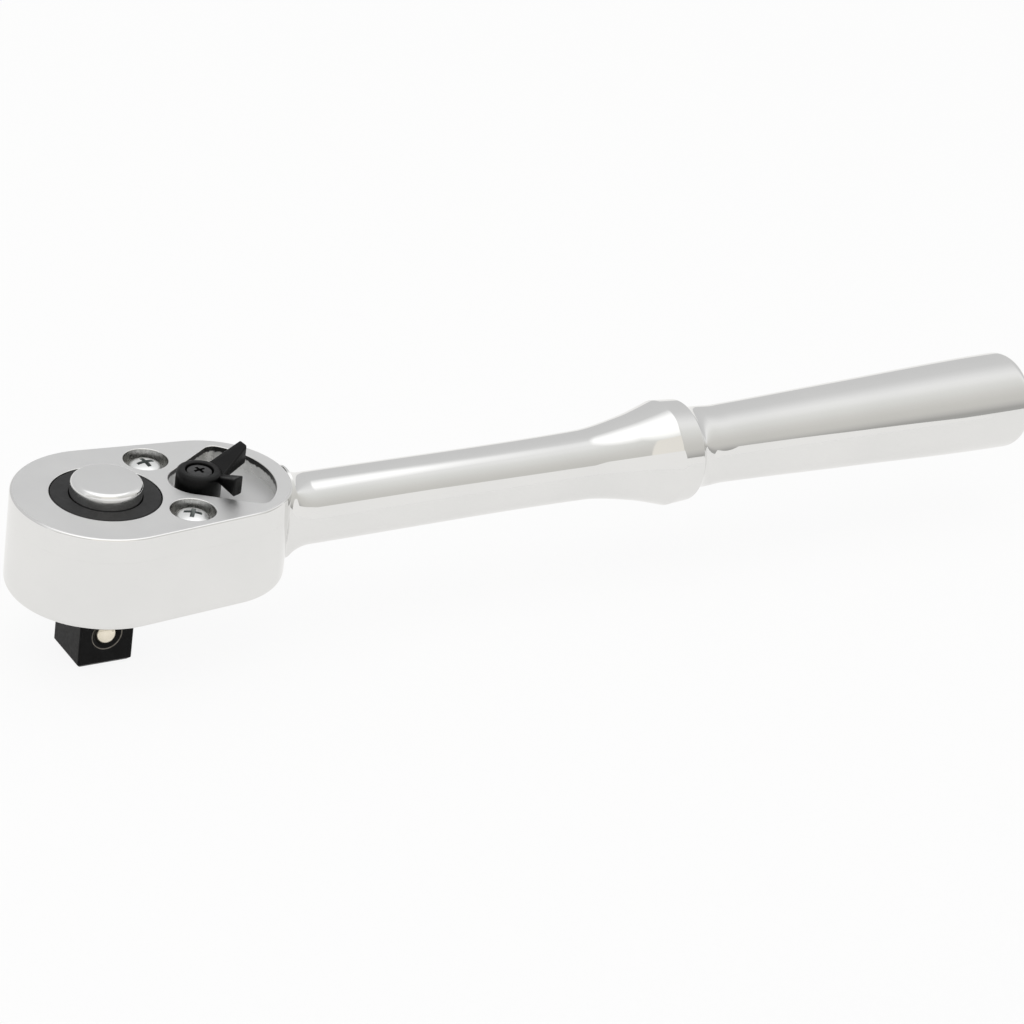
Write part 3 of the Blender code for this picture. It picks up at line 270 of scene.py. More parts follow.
def head_outline(inset):
    """The head's plan outline, drawn in by inset."""
    lean = math.acos((HEAD_FRONT_RADIUS - HEAD_REAR_RADIUS) / HEAD_REAR_X)
    front = arc((0, 0), HEAD_FRONT_RADIUS - inset, lean, 2 * math.pi - lean, 120)
    rear = arc((HEAD_REAR_X, 0), HEAD_REAR_RADIUS - inset, -lean, lean, 96)
    return front + rear


def opening_outline(inset):
    """The lever's fan-shaped opening in plan: a lobe, two straight sides and an outer arc."""
    lobe = OPENING_LOBE_RADIUS - inset
    outer = OPENING_RADIUS - inset
    corner = OPENING_CORNER - inset
    side = math.pi / 2 + OPENING_HALF_ANGLE
    off = lobe - corner
    reach = outer - corner
    spread = OPENING_HALF_ANGLE + math.atan2(off, math.sqrt(reach**2 - off**2))
    upper = (reach * math.cos(spread), reach * math.sin(spread))
    points = arc((0, 0), lobe, side, 2 * math.pi - side, 48)
    points += arc((upper[0], -upper[1]), corner, -side, -spread, 16)
    points += arc((0, 0), outer, -spread, spread, 48)[1:-1]
    points += arc(upper, corner, spread, side, 16)
    return [(x + LEVER_X, y) for x, y in points]


def gear_outline():
    """The gear's teeth in plan. A tooth space lies on +X."""
    pitch = 2 * math.pi / GEAR_TEETH
    points = []
    for k in range(GEAR_TEETH):
        middle = (k + 0.5) * pitch
        for radius, share in (
            (GEAR_ROOT_RADIUS, -TOOTH_ROOT_SHARE), (GEAR_TIP_RADIUS, -TOOTH_TIP_SHARE),
            (GEAR_TIP_RADIUS, TOOTH_TIP_SHARE), (GEAR_ROOT_RADIUS, TOOTH_ROOT_SHARE),
        ):
            turn = middle + share * pitch
            points.append((radius * math.cos(turn), radius * math.sin(turn)))
    return points


def rounded_square(side, radius):
    """A square with rounded corners."""
    near = side / 2 - radius
    points = []
    for k, (sx, sy) in enumerate(((1, 1), (-1, 1), (-1, -1), (1, -1))):
        points += arc((sx * near, sy * near), radius, math.pi / 2 * k, math.pi / 2 * (k + 1), 6)
    return points


def drive_square(inset):
    """The drive square in plan, its corners sharper as it is drawn in."""
    corner = max(DRIVE_EDGE_ROUND - 2 * inset, DRIVE_LEAST_ROUND)
    return rounded_square(DRIVE_SQUARE - 2 * inset, corner)


def cross_outline(span, slot):
    """A plus sign, for a cross recess."""
    long, short = span / 2, slot / 2
    return [
        (long, -short), (long, short), (short, short), (short, long),
        (-short, long), (-short, short), (-long, short), (-long, -short),
        (-short, -short), (-short, -long), (short, -long), (short, -short),
    ]


def smooth_curve(stations, steps, end_slope=0.0):
    """Points on a smooth curve through (x, radius) stations, flat at its start."""
    slopes = [0.0]
    for before, after in zip(stations, stations[2:]):
        slopes.append((after[1] - before[1]) / (after[0] - before[0]))
    slopes.append(end_slope)
    points = [stations[0]]
    for (a, b, m0, m1) in zip(stations, stations[1:], slopes, slopes[1:]):
        span = b[0] - a[0]
        for k in range(1, steps + 1):
            t = k / steps
            blend = t * t * (3 - 2 * t)
            bend = span * (m0 * t * (1 - t) ** 2 - m1 * t * t * (1 - t))
            points.append((a[0] + span * t, a[1] + (b[1] - a[1]) * blend + bend))
    return points


def skin(rings, closed=False):
    """A mesh from rings of equal length, capped at both ends or closed on itself.

    A ring of one point is a pole.
    """
    bm = bmesh.new()
    loops = [[bm.verts.new(p) for p in ring] for ring in rings]
    pairs = list(zip(loops, loops[1:]))
    if closed:
        pairs.append((loops[-1], loops[0]))
    for low, high in pairs:
        count = max(len(low), len(high))
        for k in range(count):
            n = (k + 1) % count
            corners = [low[k % len(low)], low[n % len(low)], high[n % len(high)], high[k % len(high)]]
            bm.faces.new(list(dict.fromkeys(corners)))
    if not closed:
        for end in (loops[0], loops[-1]):
            if len(end) > 1:
                bm.faces.new(end)
    return bm


def prism(outline, low, high):
    """An upright prism between two heights."""
    return skin([[(x, y, z) for x, y in outline] for z in (low, high)])


def stack(outline_at, levels):
    """An upright solid whose outline is drawn in by its own inset at each height."""
    return skin([[(x, y, z) for x, y in outline_at(inset)] for z, inset in levels])


def turned(profile, steps=ROUND_STEPS, closed=False):
    """A solid of revolution about Z from (radius, height) points."""
    rings = []
    for radius, z in profile:
        if radius < ON_AXIS:
            rings.append([(0, 0, z)])
        else:
            rings.append([(x, y, z) for x, y in circle(radius, steps)])
    return skin(rings, closed)


def coil(spring, low, high):
    """A coil spring along Z between two heights."""
    radius, wire, turns = spring
    start, length = low + wire, high - low - 2 * wire
    steps = round(turns * COIL_STEPS)
    rings = []
    for k in range(steps + 1):
        a = 2 * math.pi * turns * k / steps
        out = Vector((math.cos(a), math.sin(a), 0.0))
        climb = length / (2 * math.pi * turns * radius)
        along = Vector((-math.sin(a), math.cos(a), climb)).normalized()
        center = radius * out + Vector((0.0, 0.0, start + length * k / steps))
        across = out.cross(along)
        section = circle(1.0, WIRE_STEPS)
        rings.append([center + wire * (c * out + s * across) for c, s in section])
    return skin(rings)


def moved(bm, matrix):
    bmesh.ops.transform(bm, matrix=matrix, verts=bm.verts)
    return bm


def mesh_object(bm, name):
    bmesh.ops.remove_doubles(bm, verts=bm.verts, dist=SAME_POINT)
    bmesh.ops.recalc_face_normals(bm, faces=bm.faces)
    mesh = bpy.data.meshes.new(name)
    bm.to_mesh(mesh)
    bm.free()
    obj = bpy.data.objects.new(name, mesh)
    bpy.context.scene.collection.objects.link(obj)
    return obj


def carve(obj, steps):
    """Joins to or cuts from obj each (operation, mesh) in turn, for good."""
    tools = []
    for k, (operation, bm) in enumerate(steps):
        tool = mesh_object(bm, f"{obj.name}_tool_{k}")
        modifier = obj.modifiers.new(f"step {k}", "BOOLEAN")
        modifier.operation = operation
        modifier.solver = "EXACT"
        modifier.object = tool
        tools.append(tool)
    settle(obj)
    for tool in tools:
        bpy.data.objects.remove(tool)


def settle(obj):
    """Applies obj's modifiers to its mesh."""
    graph = bpy.context.evaluated_depsgraph_get()
    mesh = bpy.data.meshes.new_from_object(obj.evaluated_get(graph))
    obj.modifiers.clear()
    obj.data = mesh


def shade(obj, angle=30.0):
    obj.data.shade_smooth()
    obj.data.set_sharp_from_angle(angle=math.radians(angle))


def level_top(obj, height):
    """Every corner on the flat top shades as level, also where small rounds end there."""
    mesh = obj.data
    normals = []
    for corner, loop in zip(mesh.corner_normals, mesh.loops):
        on_top = abs(mesh.vertices[loop.vertex_index].co.z - height) < SAME_LEVEL
        normals.append((0.0, 0.0, 1.0) if on_top else tuple(corner.vector))
    mesh.normals_split_custom_set(normals)


def keep_flat(obj):
    """Wide flat faces keep their own normals beside small rounds."""
    modifier = obj.modifiers.new("flat faces", "WEIGHTED_NORMAL")
    modifier.keep_sharp = True
    settle(obj)


def dress(obj, body, node, slot, *materials):
    """Puts obj in its node's place, on its body, with its finish."""
    obj.data.materials.clear()
    for material in materials:
        obj.data.materials.append(material)
    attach(obj, body)
    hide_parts(node)


def handle_stations():
    """(x, half width, half height) along the handle, from inside the head to the grip's end."""
    reach = HEAD_REAR_RADIUS + NECK_SIDE_FILLET
    side_x = HEAD_REAR_X + math.sqrt(reach**2 - (NECK_RADIUS + NECK_SIDE_FILLET) ** 2)
    wall_x = HEAD_REAR_X + (side_x - HEAD_REAR_X) * HEAD_REAR_RADIUS / reach
    rise = NECK_SHELF_RADIUS - NECK_RADIUS
    shelf_x = NECK_START_X - math.sqrt(NECK_TOP_FILLET**2 - (NECK_TOP_FILLET - rise) ** 2)
    def flare(x, end, start, fillet):
        run = min(max(end - x, 0.0), end - start)
        return NECK_RADIUS + fillet - math.sqrt(fillet**2 - run**2)

    marks = {HANDLE_START_X}
    for start, end in ((wall_x, side_x), (shelf_x, NECK_START_X)):
        marks |= {start + (end - start) * k / 20 for k in range(21)}
    rings = []
    for x in sorted(marks)[:-1]:
        half_width = flare(x, side_x, wall_x, NECK_SIDE_FILLET)
        rings.append((x, half_width, flare(x, NECK_START_X, shelf_x, NECK_TOP_FILLET)))

    ridge = (RIDGE_X, RIDGE_RADIUS)
    outline = smooth_curve([(NECK_START_X, NECK_RADIUS), *SWELL, ridge], 30, RIDGE_SLOPE)
    band = RIM_X - RIM_ROUND - RIDGE_X
    for run in (RIDGE_ROUND, band / 2):
        outline.append((RIDGE_X + run, RIDGE_RADIUS - (RIDGE_RADIUS - RIM_RADIUS) * run / band))
    outline += arc((RIM_X - RIM_ROUND, RIM_RADIUS - RIM_ROUND), RIM_ROUND, math.pi / 2, 0, 10)
    fall = RIM_RADIUS - RIM_ROUND - GRIP_FOOT_RADIUS
    run = GRIP_FOOT_X - RIM_X
    fillet = (run**2 + fall**2) / (2 * fall)
    lean = math.asin(run / fillet)
    foot = (GRIP_FOOT_X, GRIP_FOOT_RADIUS + fillet)
    outline += arc(foot, fillet, 1.5 * math.pi - lean, 1.5 * math.pi, 24)[1:-1]
    taper_end = HANDLE_END_X - HANDLE_END_ROUND
    outline += smooth_curve([(GRIP_FOOT_X, GRIP_FOOT_RADIUS), *GRIP, (taper_end, GRIP_END_RADIUS)], 40)
    end = (taper_end, GRIP_END_RADIUS - HANDLE_END_ROUND)
    outline += arc(end, HANDLE_END_ROUND, math.pi / 2, 0, 20)[1:]
    return rings + [(x, radius, radius) for x, radius in outline]


def make_body(chrome):
    """The forging's skin: head with its pockets, neck, bulge and grip."""
    seam = COVER_LOW - COVER_SEAM
    low = HEAD_LOW + HEAD_BOTTOM_ROUND
    wall = low - COVER_LOW + COVER_SEAM
    levels = [(seam + wall * k / 8, 0.0) for k in range(8)]
    levels += [(low - HEAD_BOTTOM_ROUND * s, HEAD_BOTTOM_ROUND * c) for s, c in quarter_round(16)]
    body = mesh_object(stack(head_outline, levels), "body_skin")
    ring = circle(1.0, ROUND_STEPS)
    sections = []
    for x, half_width, half_height in handle_stations():
        sections.append([(x, half_width * c, HANDLE_AXIS_Z + half_height * s) for c, s in ring])
    journal = circle(JOURNAL_RADIUS + RUNNING_FIT, ROUND_STEPS)
    pawl_pocket = circle(PAWL_POCKET_RADIUS, ROUND_STEPS, (LEVER_X, 0))
    steps = [
        ("UNION", skin(sections)),
        ("DIFFERENCE", prism(head_outline(-RUNNING_FIT), seam, TOP + OVERRUN)),
        ("DIFFERENCE", prism(circle(GEAR_POCKET_RADIUS, ROUND_STEPS), POCKET_LOW, TOP)),
        ("DIFFERENCE", prism(pawl_pocket, POCKET_LOW, TOP)),
        ("DIFFERENCE", prism(journal, HEAD_LOW - OVERRUN, TOP)),
    ]
    carve(body, steps)
    shade(body)
    dress(body, "head", "ratchet_body", "polished_chrome", chrome)


def broken_hole(outline_at, floor):
    """A cutter for a hole from floor up, its top edge broken by a small round."""
    levels = [(floor, 0.0), (TOP - EDGE_BREAK, 0.0)]
    levels += [(TOP - EDGE_BREAK * (1 - s), -EDGE_BREAK * c) for s, c in quarter_round(4, 1)]
    levels.append((TOP + OVERRUN, -EDGE_BREAK))
    return stack(outline_at, levels)


def depth_in_head(x, y):
    """How far a point lies inside the head's plan outline."""
    lean = math.acos((HEAD_FRONT_RADIUS - HEAD_REAR_RADIUS) / HEAD_REAR_X)
    shift = x * math.sin(lean) - abs(y) * math.cos(lean)
    if shift < 0:
        return HEAD_FRONT_RADIUS - math.hypot(x, y)
    if shift > HEAD_REAR_X * math.sin(lean):
        return HEAD_REAR_RADIUS - math.hypot(x - HEAD_REAR_X, y)
    return HEAD_FRONT_RADIUS - x * math.cos(lean) - abs(y) * math.sin(lean)


def in_opening(x, y):
    """Whether a wall at this place is the lever opening's, not a round hole's."""
    from_screw = math.hypot(x - COVER_SCREW_X, abs(y) - COVER_SCREW_Y)
    from_lever = math.hypot(x - LEVER_X, y)
    beyond_hub = math.hypot(x, y) > HUB_RADIUS + OVERRUN
    return beyond_hub and from_screw > COUNTERBORE_RADIUS + RUNNING_FIT and from_lever > LEVER_HUB_RADIUS


def make_cover(satin, chrome, bore_steel_with_painted_shade, painted_reflection_wall):
    """The cover plate: satin top and opening floor, polished rim, holes' walls with cutter marks
    darkened as painted shade, and the opening's wall with a painted dark reflection along its top.
    """
    levels = [(COVER_LOW, 0.0)]
    levels += [(TOP - COVER_CHAMFER * (1 - s), COVER_CHAMFER * c) for s, c in quarter_round(8)]
    cover = mesh_object(stack(head_outline, levels), "cover_skin")
    below = COVER_LOW - OVERRUN
    hub_hole = round_hole(HUB_RADIUS + RUNNING_FIT, ROUND_STEPS)
    steps = [("DIFFERENCE", broken_hole(hub_hole, below))]
    for y in (COVER_SCREW_Y, -COVER_SCREW_Y):
        place = (COVER_SCREW_X, y)
        counterbore = round_hole(COUNTERBORE_RADIUS, SMALL_STEPS, place)
        steps.append(("DIFFERENCE", broken_hole(counterbore, COUNTERBORE_FLOOR)))
        screw_hole = circle(SCREW_HOLE_RADIUS, SMALL_STEPS, place)
        steps.append(("DIFFERENCE", prism(screw_hole, below, TOP)))
    steps.append(("DIFFERENCE", broken_hole(opening_outline, OPENING_FLOOR)))
    spindle_hole = circle(SPINDLE_HOLE_RADIUS, SMALL_STEPS, (LEVER_X, 0))
    steps.append(("DIFFERENCE", prism(spindle_hole, below, TOP)))
    carve(cover, steps)
    shade(cover)
    level_top(cover, TOP)
    dress(cover, "head", "cover_plate", "satin_chrome", satin, chrome, bore_steel_with_painted_shade, painted_reflection_wall)
    for face in cover.data.polygons:
        x, y, z = face.center
        on_satin = z > TOP - SAME_PLACE or abs(z - OPENING_FLOOR) < SAME_PLACE
        if face.normal.z > LEVEL and on_satin:
            face.material_index = TOP_SLOT
        elif face.normal.z > UPRIGHT or depth_in_head(x, y) < COVER_CHAMFER:
            face.material_index = RIM_SLOT
        # The opening's walls take the ragged dark band painted as a reflection
        elif abs(face.normal.z) < UPRIGHT and in_opening(x, y):
            face.material_index = PAINTED_REFLECTION_SLOT
        else:
            # The holes' walls take the cutter-marked steel darkened as painted shade
            face.material_index = BORE_SLOT


def make_drive(black, ring_black, worn):
    """The drive's skin: hub ring, gear, journal and square with the ball's hole."""
    drive = mesh_object(prism(gear_outline(), GEAR_LOW, GEAR_TOP), "drive_skin")
    hub = [(0, GEAR_TOP - DRIVE_LAP), (HUB_RADIUS, GEAR_TOP - DRIVE_LAP)]
    hub += [(radius, GROOVE_Z - GROOVE_HALF_WIDTH) for radius in (HUB_RADIUS, GROOVE_RADIUS)]
    hub += [(radius, GROOVE_Z + GROOVE_HALF_WIDTH) for radius in (GROOVE_RADIUS, HUB_RADIUS)]
    rim = (HUB_RADIUS - HUB_ROUND, HUB_TOP - HUB_ROUND)
    hub += arc(rim, HUB_ROUND, 0, math.pi / 2, 8) + [(0, HUB_TOP)]
    journal = [
        (0, JOURNAL_LOW), (JOURNAL_RADIUS - JOURNAL_CHAMFER, JOURNAL_LOW),
        (JOURNAL_RADIUS, JOURNAL_LOW + JOURNAL_CHAMFER),
        (JOURNAL_RADIUS, GEAR_LOW + DRIVE_LAP), (0, GEAR_LOW + DRIVE_LAP),
    ]
    runout = DRIVE_EDGE_ROUND / 2
    square_levels = [
        (0.0, DRIVE_END_CHAMFER), (DRIVE_END_CHAMFER - runout, runout), (DRIVE_END_CHAMFER, 0.0),
        (JOURNAL_LOW + DRIVE_LAP, 0.0),
    ]
    bore_radius = BUTTON_RADIUS + RUNNING_FIT
    mouth_radius = bore_radius + BUTTON_BORE_ROUND
    mouth = (mouth_radius, HUB_TOP - BUTTON_BORE_ROUND)
    bore = [(0, BUTTON_BORE_LOW), (bore_radius, BUTTON_BORE_LOW)]
    bore += arc(mouth, BUTTON_BORE_ROUND, math.pi, math.pi / 2, 6)
    bore += [(mouth_radius, HUB_TOP + OVERRUN), (0, HUB_TOP + OVERRUN)]
    face = DRIVE_SQUARE / 2
    lip = face - BALL_LIP_DEPTH
    lip_radius = math.sqrt(BALL_RADIUS**2 - (lip + BALL_CENTER.y) ** 2) + BALL_LIP_PLAY
    rubbed = BALL_CHAMFER_RADIUS - RUBBED_SHARE * (BALL_CHAMFER_RADIUS - lip_radius)
    seat_radius = BALL_RADIUS + RUNNING_FIT
    seat = [
        (0, 0), (seat_radius, 0), (seat_radius, lip - BALL_LIP_TAPER), (lip_radius, lip),
        (rubbed, face - BALL_LIP_DEPTH * RUBBED_SHARE), (BALL_CHAMFER_RADIUS, face),
        (BALL_CHAMFER_RADIUS, face + OVERRUN), (0, face + OVERRUN),
    ]
    to_side = Matrix.Translation((0, 0, BALL_CENTER.z)) @ Matrix.Rotation(math.pi / 2, 4, "X")
    steps = [
        ("UNION", turned(hub)), ("UNION", turned(journal)),
        ("UNION", stack(drive_square, square_levels)),
        ("DIFFERENCE", turned(bore)),
        ("DIFFERENCE", prism(circle(PIN_BORE_RADIUS, SMALL_STEPS), PIN_BORE_LOW, TOP)),
        ("DIFFERENCE", moved(turned(seat, SMALL_STEPS), to_side)),
    ]
    carve(drive, steps)
    shade(drive)
    keep_flat(drive)
    dress(drive, "drive", "drive_gear", "black_oxide", black, ring_black, worn)
    for part in drive.data.polygons:
        x, y, z = part.center
        from_ball = math.hypot(x, z - BALL_CENTER.z)
        if z > TOP - RING_DEPTH:
            part.material_index = RING_SLOT
        elif lip < -y < face - SAME_PLACE and rubbed < from_ball < BALL_CHAMFER_RADIUS:
            part.material_index = WORN_SLOT


def make_button(nickel):
    """The release button's skin, with a crowned top and a full round at its edge."""
    flat = BUTTON_RADIUS - BUTTON_ROUND
    edge = (flat, BUTTON_TOP - BUTTON_CROWN - BUTTON_ROUND)
    profile = [(0, BUTTON_TOP)]
    profile += [(flat * k / 10, BUTTON_TOP - BUTTON_CROWN * (k / 10) ** 2) for k in range(1, 10)]
    profile += arc(edge, BUTTON_ROUND, math.pi / 2, 0, 16)
    profile += [
        (BUTTON_RADIUS, BUTTON_SKIRT_LOW), (BUTTON_SKIRT_BORE, BUTTON_SKIRT_LOW),
        (BUTTON_SKIRT_BORE, BUTTON_POCKET_TOP), (BUTTON_STEM_RADIUS, BUTTON_POCKET_TOP),
        (BUTTON_STEM_RADIUS, BUTTON_LOW), (PIN_SOCKET_RADIUS, BUTTON_LOW),
        (PIN_SOCKET_RADIUS, PIN_SOCKET_TOP), (0, PIN_SOCKET_TOP),
    ]
    button = mesh_object(turned(profile), "button_skin")
    shade(button)
    dress(button, "button", "release_button", "satin_chrome", nickel)


def make_ball(steel):
    bm = bmesh.new()
    bmesh.ops.create_uvsphere(bm, u_segments=64, v_segments=32, radius=BALL_RADIUS)
    bmesh.ops.translate(bm, vec=BALL_CENTER, verts=bm.verts)
    ball = mesh_object(bm, "ball_skin")
    shade(ball, angle=180.0)
    dress(ball, "ball", "socket_ball", "ball_steel", steel)


def wings_mesh():
    """The lever's two thumb wings about +X, rising outwards from the hub's side, notched between."""
    sides = []
    for root_angle, side in ((FAR_WING_ROOT_ANGLE, 1), (NEAR_WING_ROOT_ANGLE, -1)):
        root = ((WING_INSIDE, root_angle / 2), (WING_ROOT_RADIUS, root_angle))
        corners = (*root, WING_OUTER, WING_INNER)
        sides.append([(radius * math.cos(a), side * radius * math.sin(a)) for radius, a in corners])
    far, near = sides
    outline = [(WING_INSIDE, 0.0)] + far + [(WING_NOTCH_X, 0.0)] + near[::-1]
    bm = bmesh.new()
    loops = []
    for rise, slope in (WING_UNDERSIDE, WING_TOP):
        loop = []
        for x, y in outline:
            out = x * math.cos(WING_SLOPE_ANGLE) + abs(y) * math.sin(WING_SLOPE_ANGLE)
            loop.append(bm.verts.new((x, y, TOP + rise + slope * out)))
        loops.append(loop)
    notch = len(far) + 1
    for loop in loops:
        bm.faces.new(loop[: notch + 1])
        bm.faces.new([loop[0]] + loop[notch:])
    for k in range(len(outline)):
        n = (k + 1) % len(outline)
        bm.faces.new((loops[0][k], loops[0][n], loops[1][n], loops[1][k]))
    bmesh.ops.recalc_face_normals(bm, faces=bm.faces)
    reach = (WING_NOTCH_X + WING_INNER[0]) / 2
    edges = [e for e in bm.edges if max(v.co.xy.length for v in e.verts) > reach]
    bmesh.ops.bevel(bm, geom=edges, offset=WING_BEVEL, segments=5, profile=0.5, affect="EDGES")
    return bm


def make_lever(black):
    """The reversing lever's skin: hub with the screw's seat, and two wings."""
    rim = (LEVER_HUB_RADIUS - LEVER_HUB_ROUND, LEVER_HUB_TOP - LEVER_HUB_ROUND)
    profile = [(LEVER_HOLE_RADIUS, LEVER_BASE), (LEVER_HUB_RADIUS, LEVER_BASE)]
    profile += arc(rim, LEVER_HUB_ROUND, 0, math.pi / 2, 10)
    edge = (LEVER_SEAT_RADIUS + EDGE_BREAK, LEVER_HUB_TOP - EDGE_BREAK)
    profile += arc(edge, EDGE_BREAK, math.pi / 2, math.pi, 4)
    profile += [(LEVER_SEAT_RADIUS, LEVER_SEAT), (LEVER_HOLE_RADIUS, LEVER_SEAT)]
    lever = mesh_object(turned(profile, SMALL_STEPS, closed=True), "lever_skin")
    socket = prism(rounded_square(*LEVER_SOCKET), LEVER_BASE - OVERRUN, LEVER_SOCKET_TOP)
    carve(lever, [("UNION", wings_mesh()), ("DIFFERENCE", socket)])
    turn = Matrix.Rotation(LEVER_REST_ANGLE, 4, "Z")
    lever.data.transform(Matrix.Translation((LEVER_X, 0, 0)) @ turn)
    shade(lever, angle=38.0)
    dress(lever, "lever", "reversing_lever", "black_lever", black)


def make_screw(name, body, node, slot, finishes, place, turn, head, thread, recess):
    """A cross-recessed pan head screw with its head's underside at place."""
    radius, crown, dome_share = head
    thread_radius, length = thread
    span, width, depth = recess
    dome = crown * dome_share
    profile = [
        (0, -length), (thread_radius * TIP_RADIUS_SHARE, -length),
        (thread_radius, -length + thread_radius * TIP_CHAMFER_SHARE),
        (thread_radius, 0), (radius, 0), (radius, crown - dome),
    ]
    for k in range(1, 13):
        a = math.pi / 2 * k / 12
        profile.append((radius * math.cos(a), crown - dome + dome * math.sin(a)))
    profile[-1] = (0, crown)
    to_place = Matrix.Translation(place) @ Matrix.Rotation(turn, 4, "Z")
    screw = mesh_object(moved(turned(profile, SMALL_STEPS), to_place), name)
    rings = []
    for share, slot_width, z in (
        (RECESS_FLOOR_SHARE, width * RECESS_FLOOR_SLOT_SHARE, crown - depth),
        (RECESS_MOUTH_SHARE, width, crown + RECESS_MOUTH_RISE * depth),
    ):
        rings.append([(x * share, y * share, z) for x, y in cross_outline(span, slot_width)])
    carve(screw, [("DIFFERENCE", moved(skin(rings), to_place))])
    shade(screw)
    dress(screw, body, node, slot, *finishes)
    # Faces down in the cross recess take the second finish: on the cover screws a darker grey painted as
    # the recess's shade, on the lever screw its black oxide
    for face in screw.data.polygons:
        x, y, z = face.center - Vector(place)
        on_side = abs(face.normal.z) < STEEP and z < crown - RECESS_RIM * depth
        sunk = z < crown - RECESS_DEEP * depth or on_side
        if sunk and z > 0 and math.hypot(x, y) < span * RECESS_REACH:
            face.material_index = RECESS_SLOT


def make_screws(zinc, shaded, grey, black):
    for side, y, turn in (
        ("far", COVER_SCREW_Y, FAR_SCREW_TURN), ("near", -COVER_SCREW_Y, NEAR_SCREW_TURN),
    ):
        make_screw(
            f"cover_screw_{side}_skin", "head", f"cover_screw_{side}", "bright_zinc",
            (zinc, shaded), (COVER_SCREW_X, y, COUNTERBORE_FLOOR + FACE_GAP), turn,
            COVER_SCREW_HEAD, COVER_SCREW_THREAD, COVER_SCREW_RECESS,
        )
    make_screw(
        "lever_screw_skin", "lever", "lever_screw", "black_oxide",
        (grey, black), (LEVER_X, 0, LEVER_SEAT + FACE_GAP), LEVER_REST_ANGLE + LEVER_SCREW_TURN,
        LEVER_SCREW_HEAD, LEVER_SCREW_THREAD, LEVER_SCREW_RECESS,
    )


def make_springs(steel):
    """The two coils, under the button and at the detent plunger."""
    low, high = (corner.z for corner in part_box("button_spring"))
    spring = mesh_object(coil(BUTTON_SPRING, low, high), "button_spring_skin")
    shade(spring, angle=60.0)
    dress(spring, "drive", "button_spring", "spring_steel", steel)
    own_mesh(spring)

    low, high = DETENT_SPRING_ENDS
    middle = Vector((LEVER_X, 0, sum(corner.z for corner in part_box("detent_plunger")) / 2))
    turn = Matrix.Rotation(LEVER_REST_ANGLE, 4, "Z") @ Matrix.Rotation(math.pi / 2, 4, "Y")
    bm = moved(coil(DETENT_SPRING, low, high), Matrix.Translation(middle) @ turn)
    spring = mesh_object(bm, "detent_spring_skin")
    shade(spring, angle=60.0)
    dress(spring, "lever", "detent_spring", "spring_steel", steel)
    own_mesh(spring)


def math_node(tree, operation, *values, clamp=False):
    """The result of a math node on sockets and numbers."""
    node = tree.nodes.new("ShaderNodeMath")
    node.operation = operation
    node.use_clamp = clamp
    for socket, value in zip(node.inputs, values):
        if isinstance(value, bpy.types.NodeSocket):
            tree.links.new(value, socket)
        else:
            socket.default_value = value
    return node.outputs["Value"]


# The part of a noise's range over which a ramp runs from its low to its high end
NOISE_SPAN = (0.3, 0.7)


class Finish:
    """A Principled material whose colour, roughness and relief come from noise on the piece itself."""

    def __init__(self, name, metallic, specular=0.5):
        self.material = bpy.data.materials.new(name)
        self.material.use_nodes = True
        self.tree = self.material.node_tree
        self.shader = self.tree.nodes["Principled BSDF"]
        self.shader.inputs["Metallic"].default_value = metallic
        self.shader.inputs["Specular IOR Level"].default_value = specular
        self.place = self.tree.nodes.new("ShaderNodeTexCoord").outputs["Object"]

    def noise(self, scale, detail=3.0, stretch=(1.0, 1.0, 1.0)):
        """Noise with features about 1 / scale metres across, drawn out by stretch."""
        mapping = self.tree.nodes.new("ShaderNodeMapping")
        mapping.inputs["Scale"].default_value = stretch
        self.tree.links.new(self.place, mapping.inputs["Vector"])
        noise = self.tree.nodes.new("ShaderNodeTexNoise")
        noise.inputs["Scale"].default_value = scale
        noise.inputs["Detail"].default_value = detail
        self.tree.links.new(mapping.outputs["Vector"], noise.inputs["Vector"])
        return noise.outputs["Fac"]

    def ramp(self, factor, low, high, span):
        ramp = self.tree.nodes.new("ShaderNodeValToRGB")
        for stop, position, color in zip(ramp.color_ramp.elements, span, (low, high)):
            stop.position = position
            stop.color = (*color, 1.0)
        self.tree.links.new(factor, ramp.inputs["Fac"])
        return ramp.outputs["Color"]

    def color(self, factor, low, high, span=NOISE_SPAN):
        color = self.ramp(factor, low, high, span)
        self.tree.links.new(color, self.shader.inputs["Base Color"])

    def roughness(self, factor, low, high):
        color = self.ramp(factor, (low,) * 3, (high,) * 3, NOISE_SPAN)
        self.tree.links.new(color, self.shader.inputs["Roughness"])

    def relief(self, factor, depth, strength):
        bump = self.tree.nodes.new("ShaderNodeBump")
        bump.inputs["Strength"].default_value = strength
        bump.inputs["Distance"].default_value = depth
        self.tree.links.new(factor, bump.inputs["Height"])
        self.tree.links.new(bump.outputs["Normal"], self.shader.inputs["Normal"])


def polished_chrome():
    finish = Finish("polished_chrome_look", 1.0)
    finish.color(finish.noise(60.0), (0.785, 0.785, 0.778), (0.815, 0.813, 0.805))
    finish.roughness(finish.noise(900.0, 4.0, (0.2, 1.0, 1.0)), 0.03, 0.065)
    finish.relief(finish.noise(45.0, 1.0), 0.02 * MM, 0.15)
    return finish.material


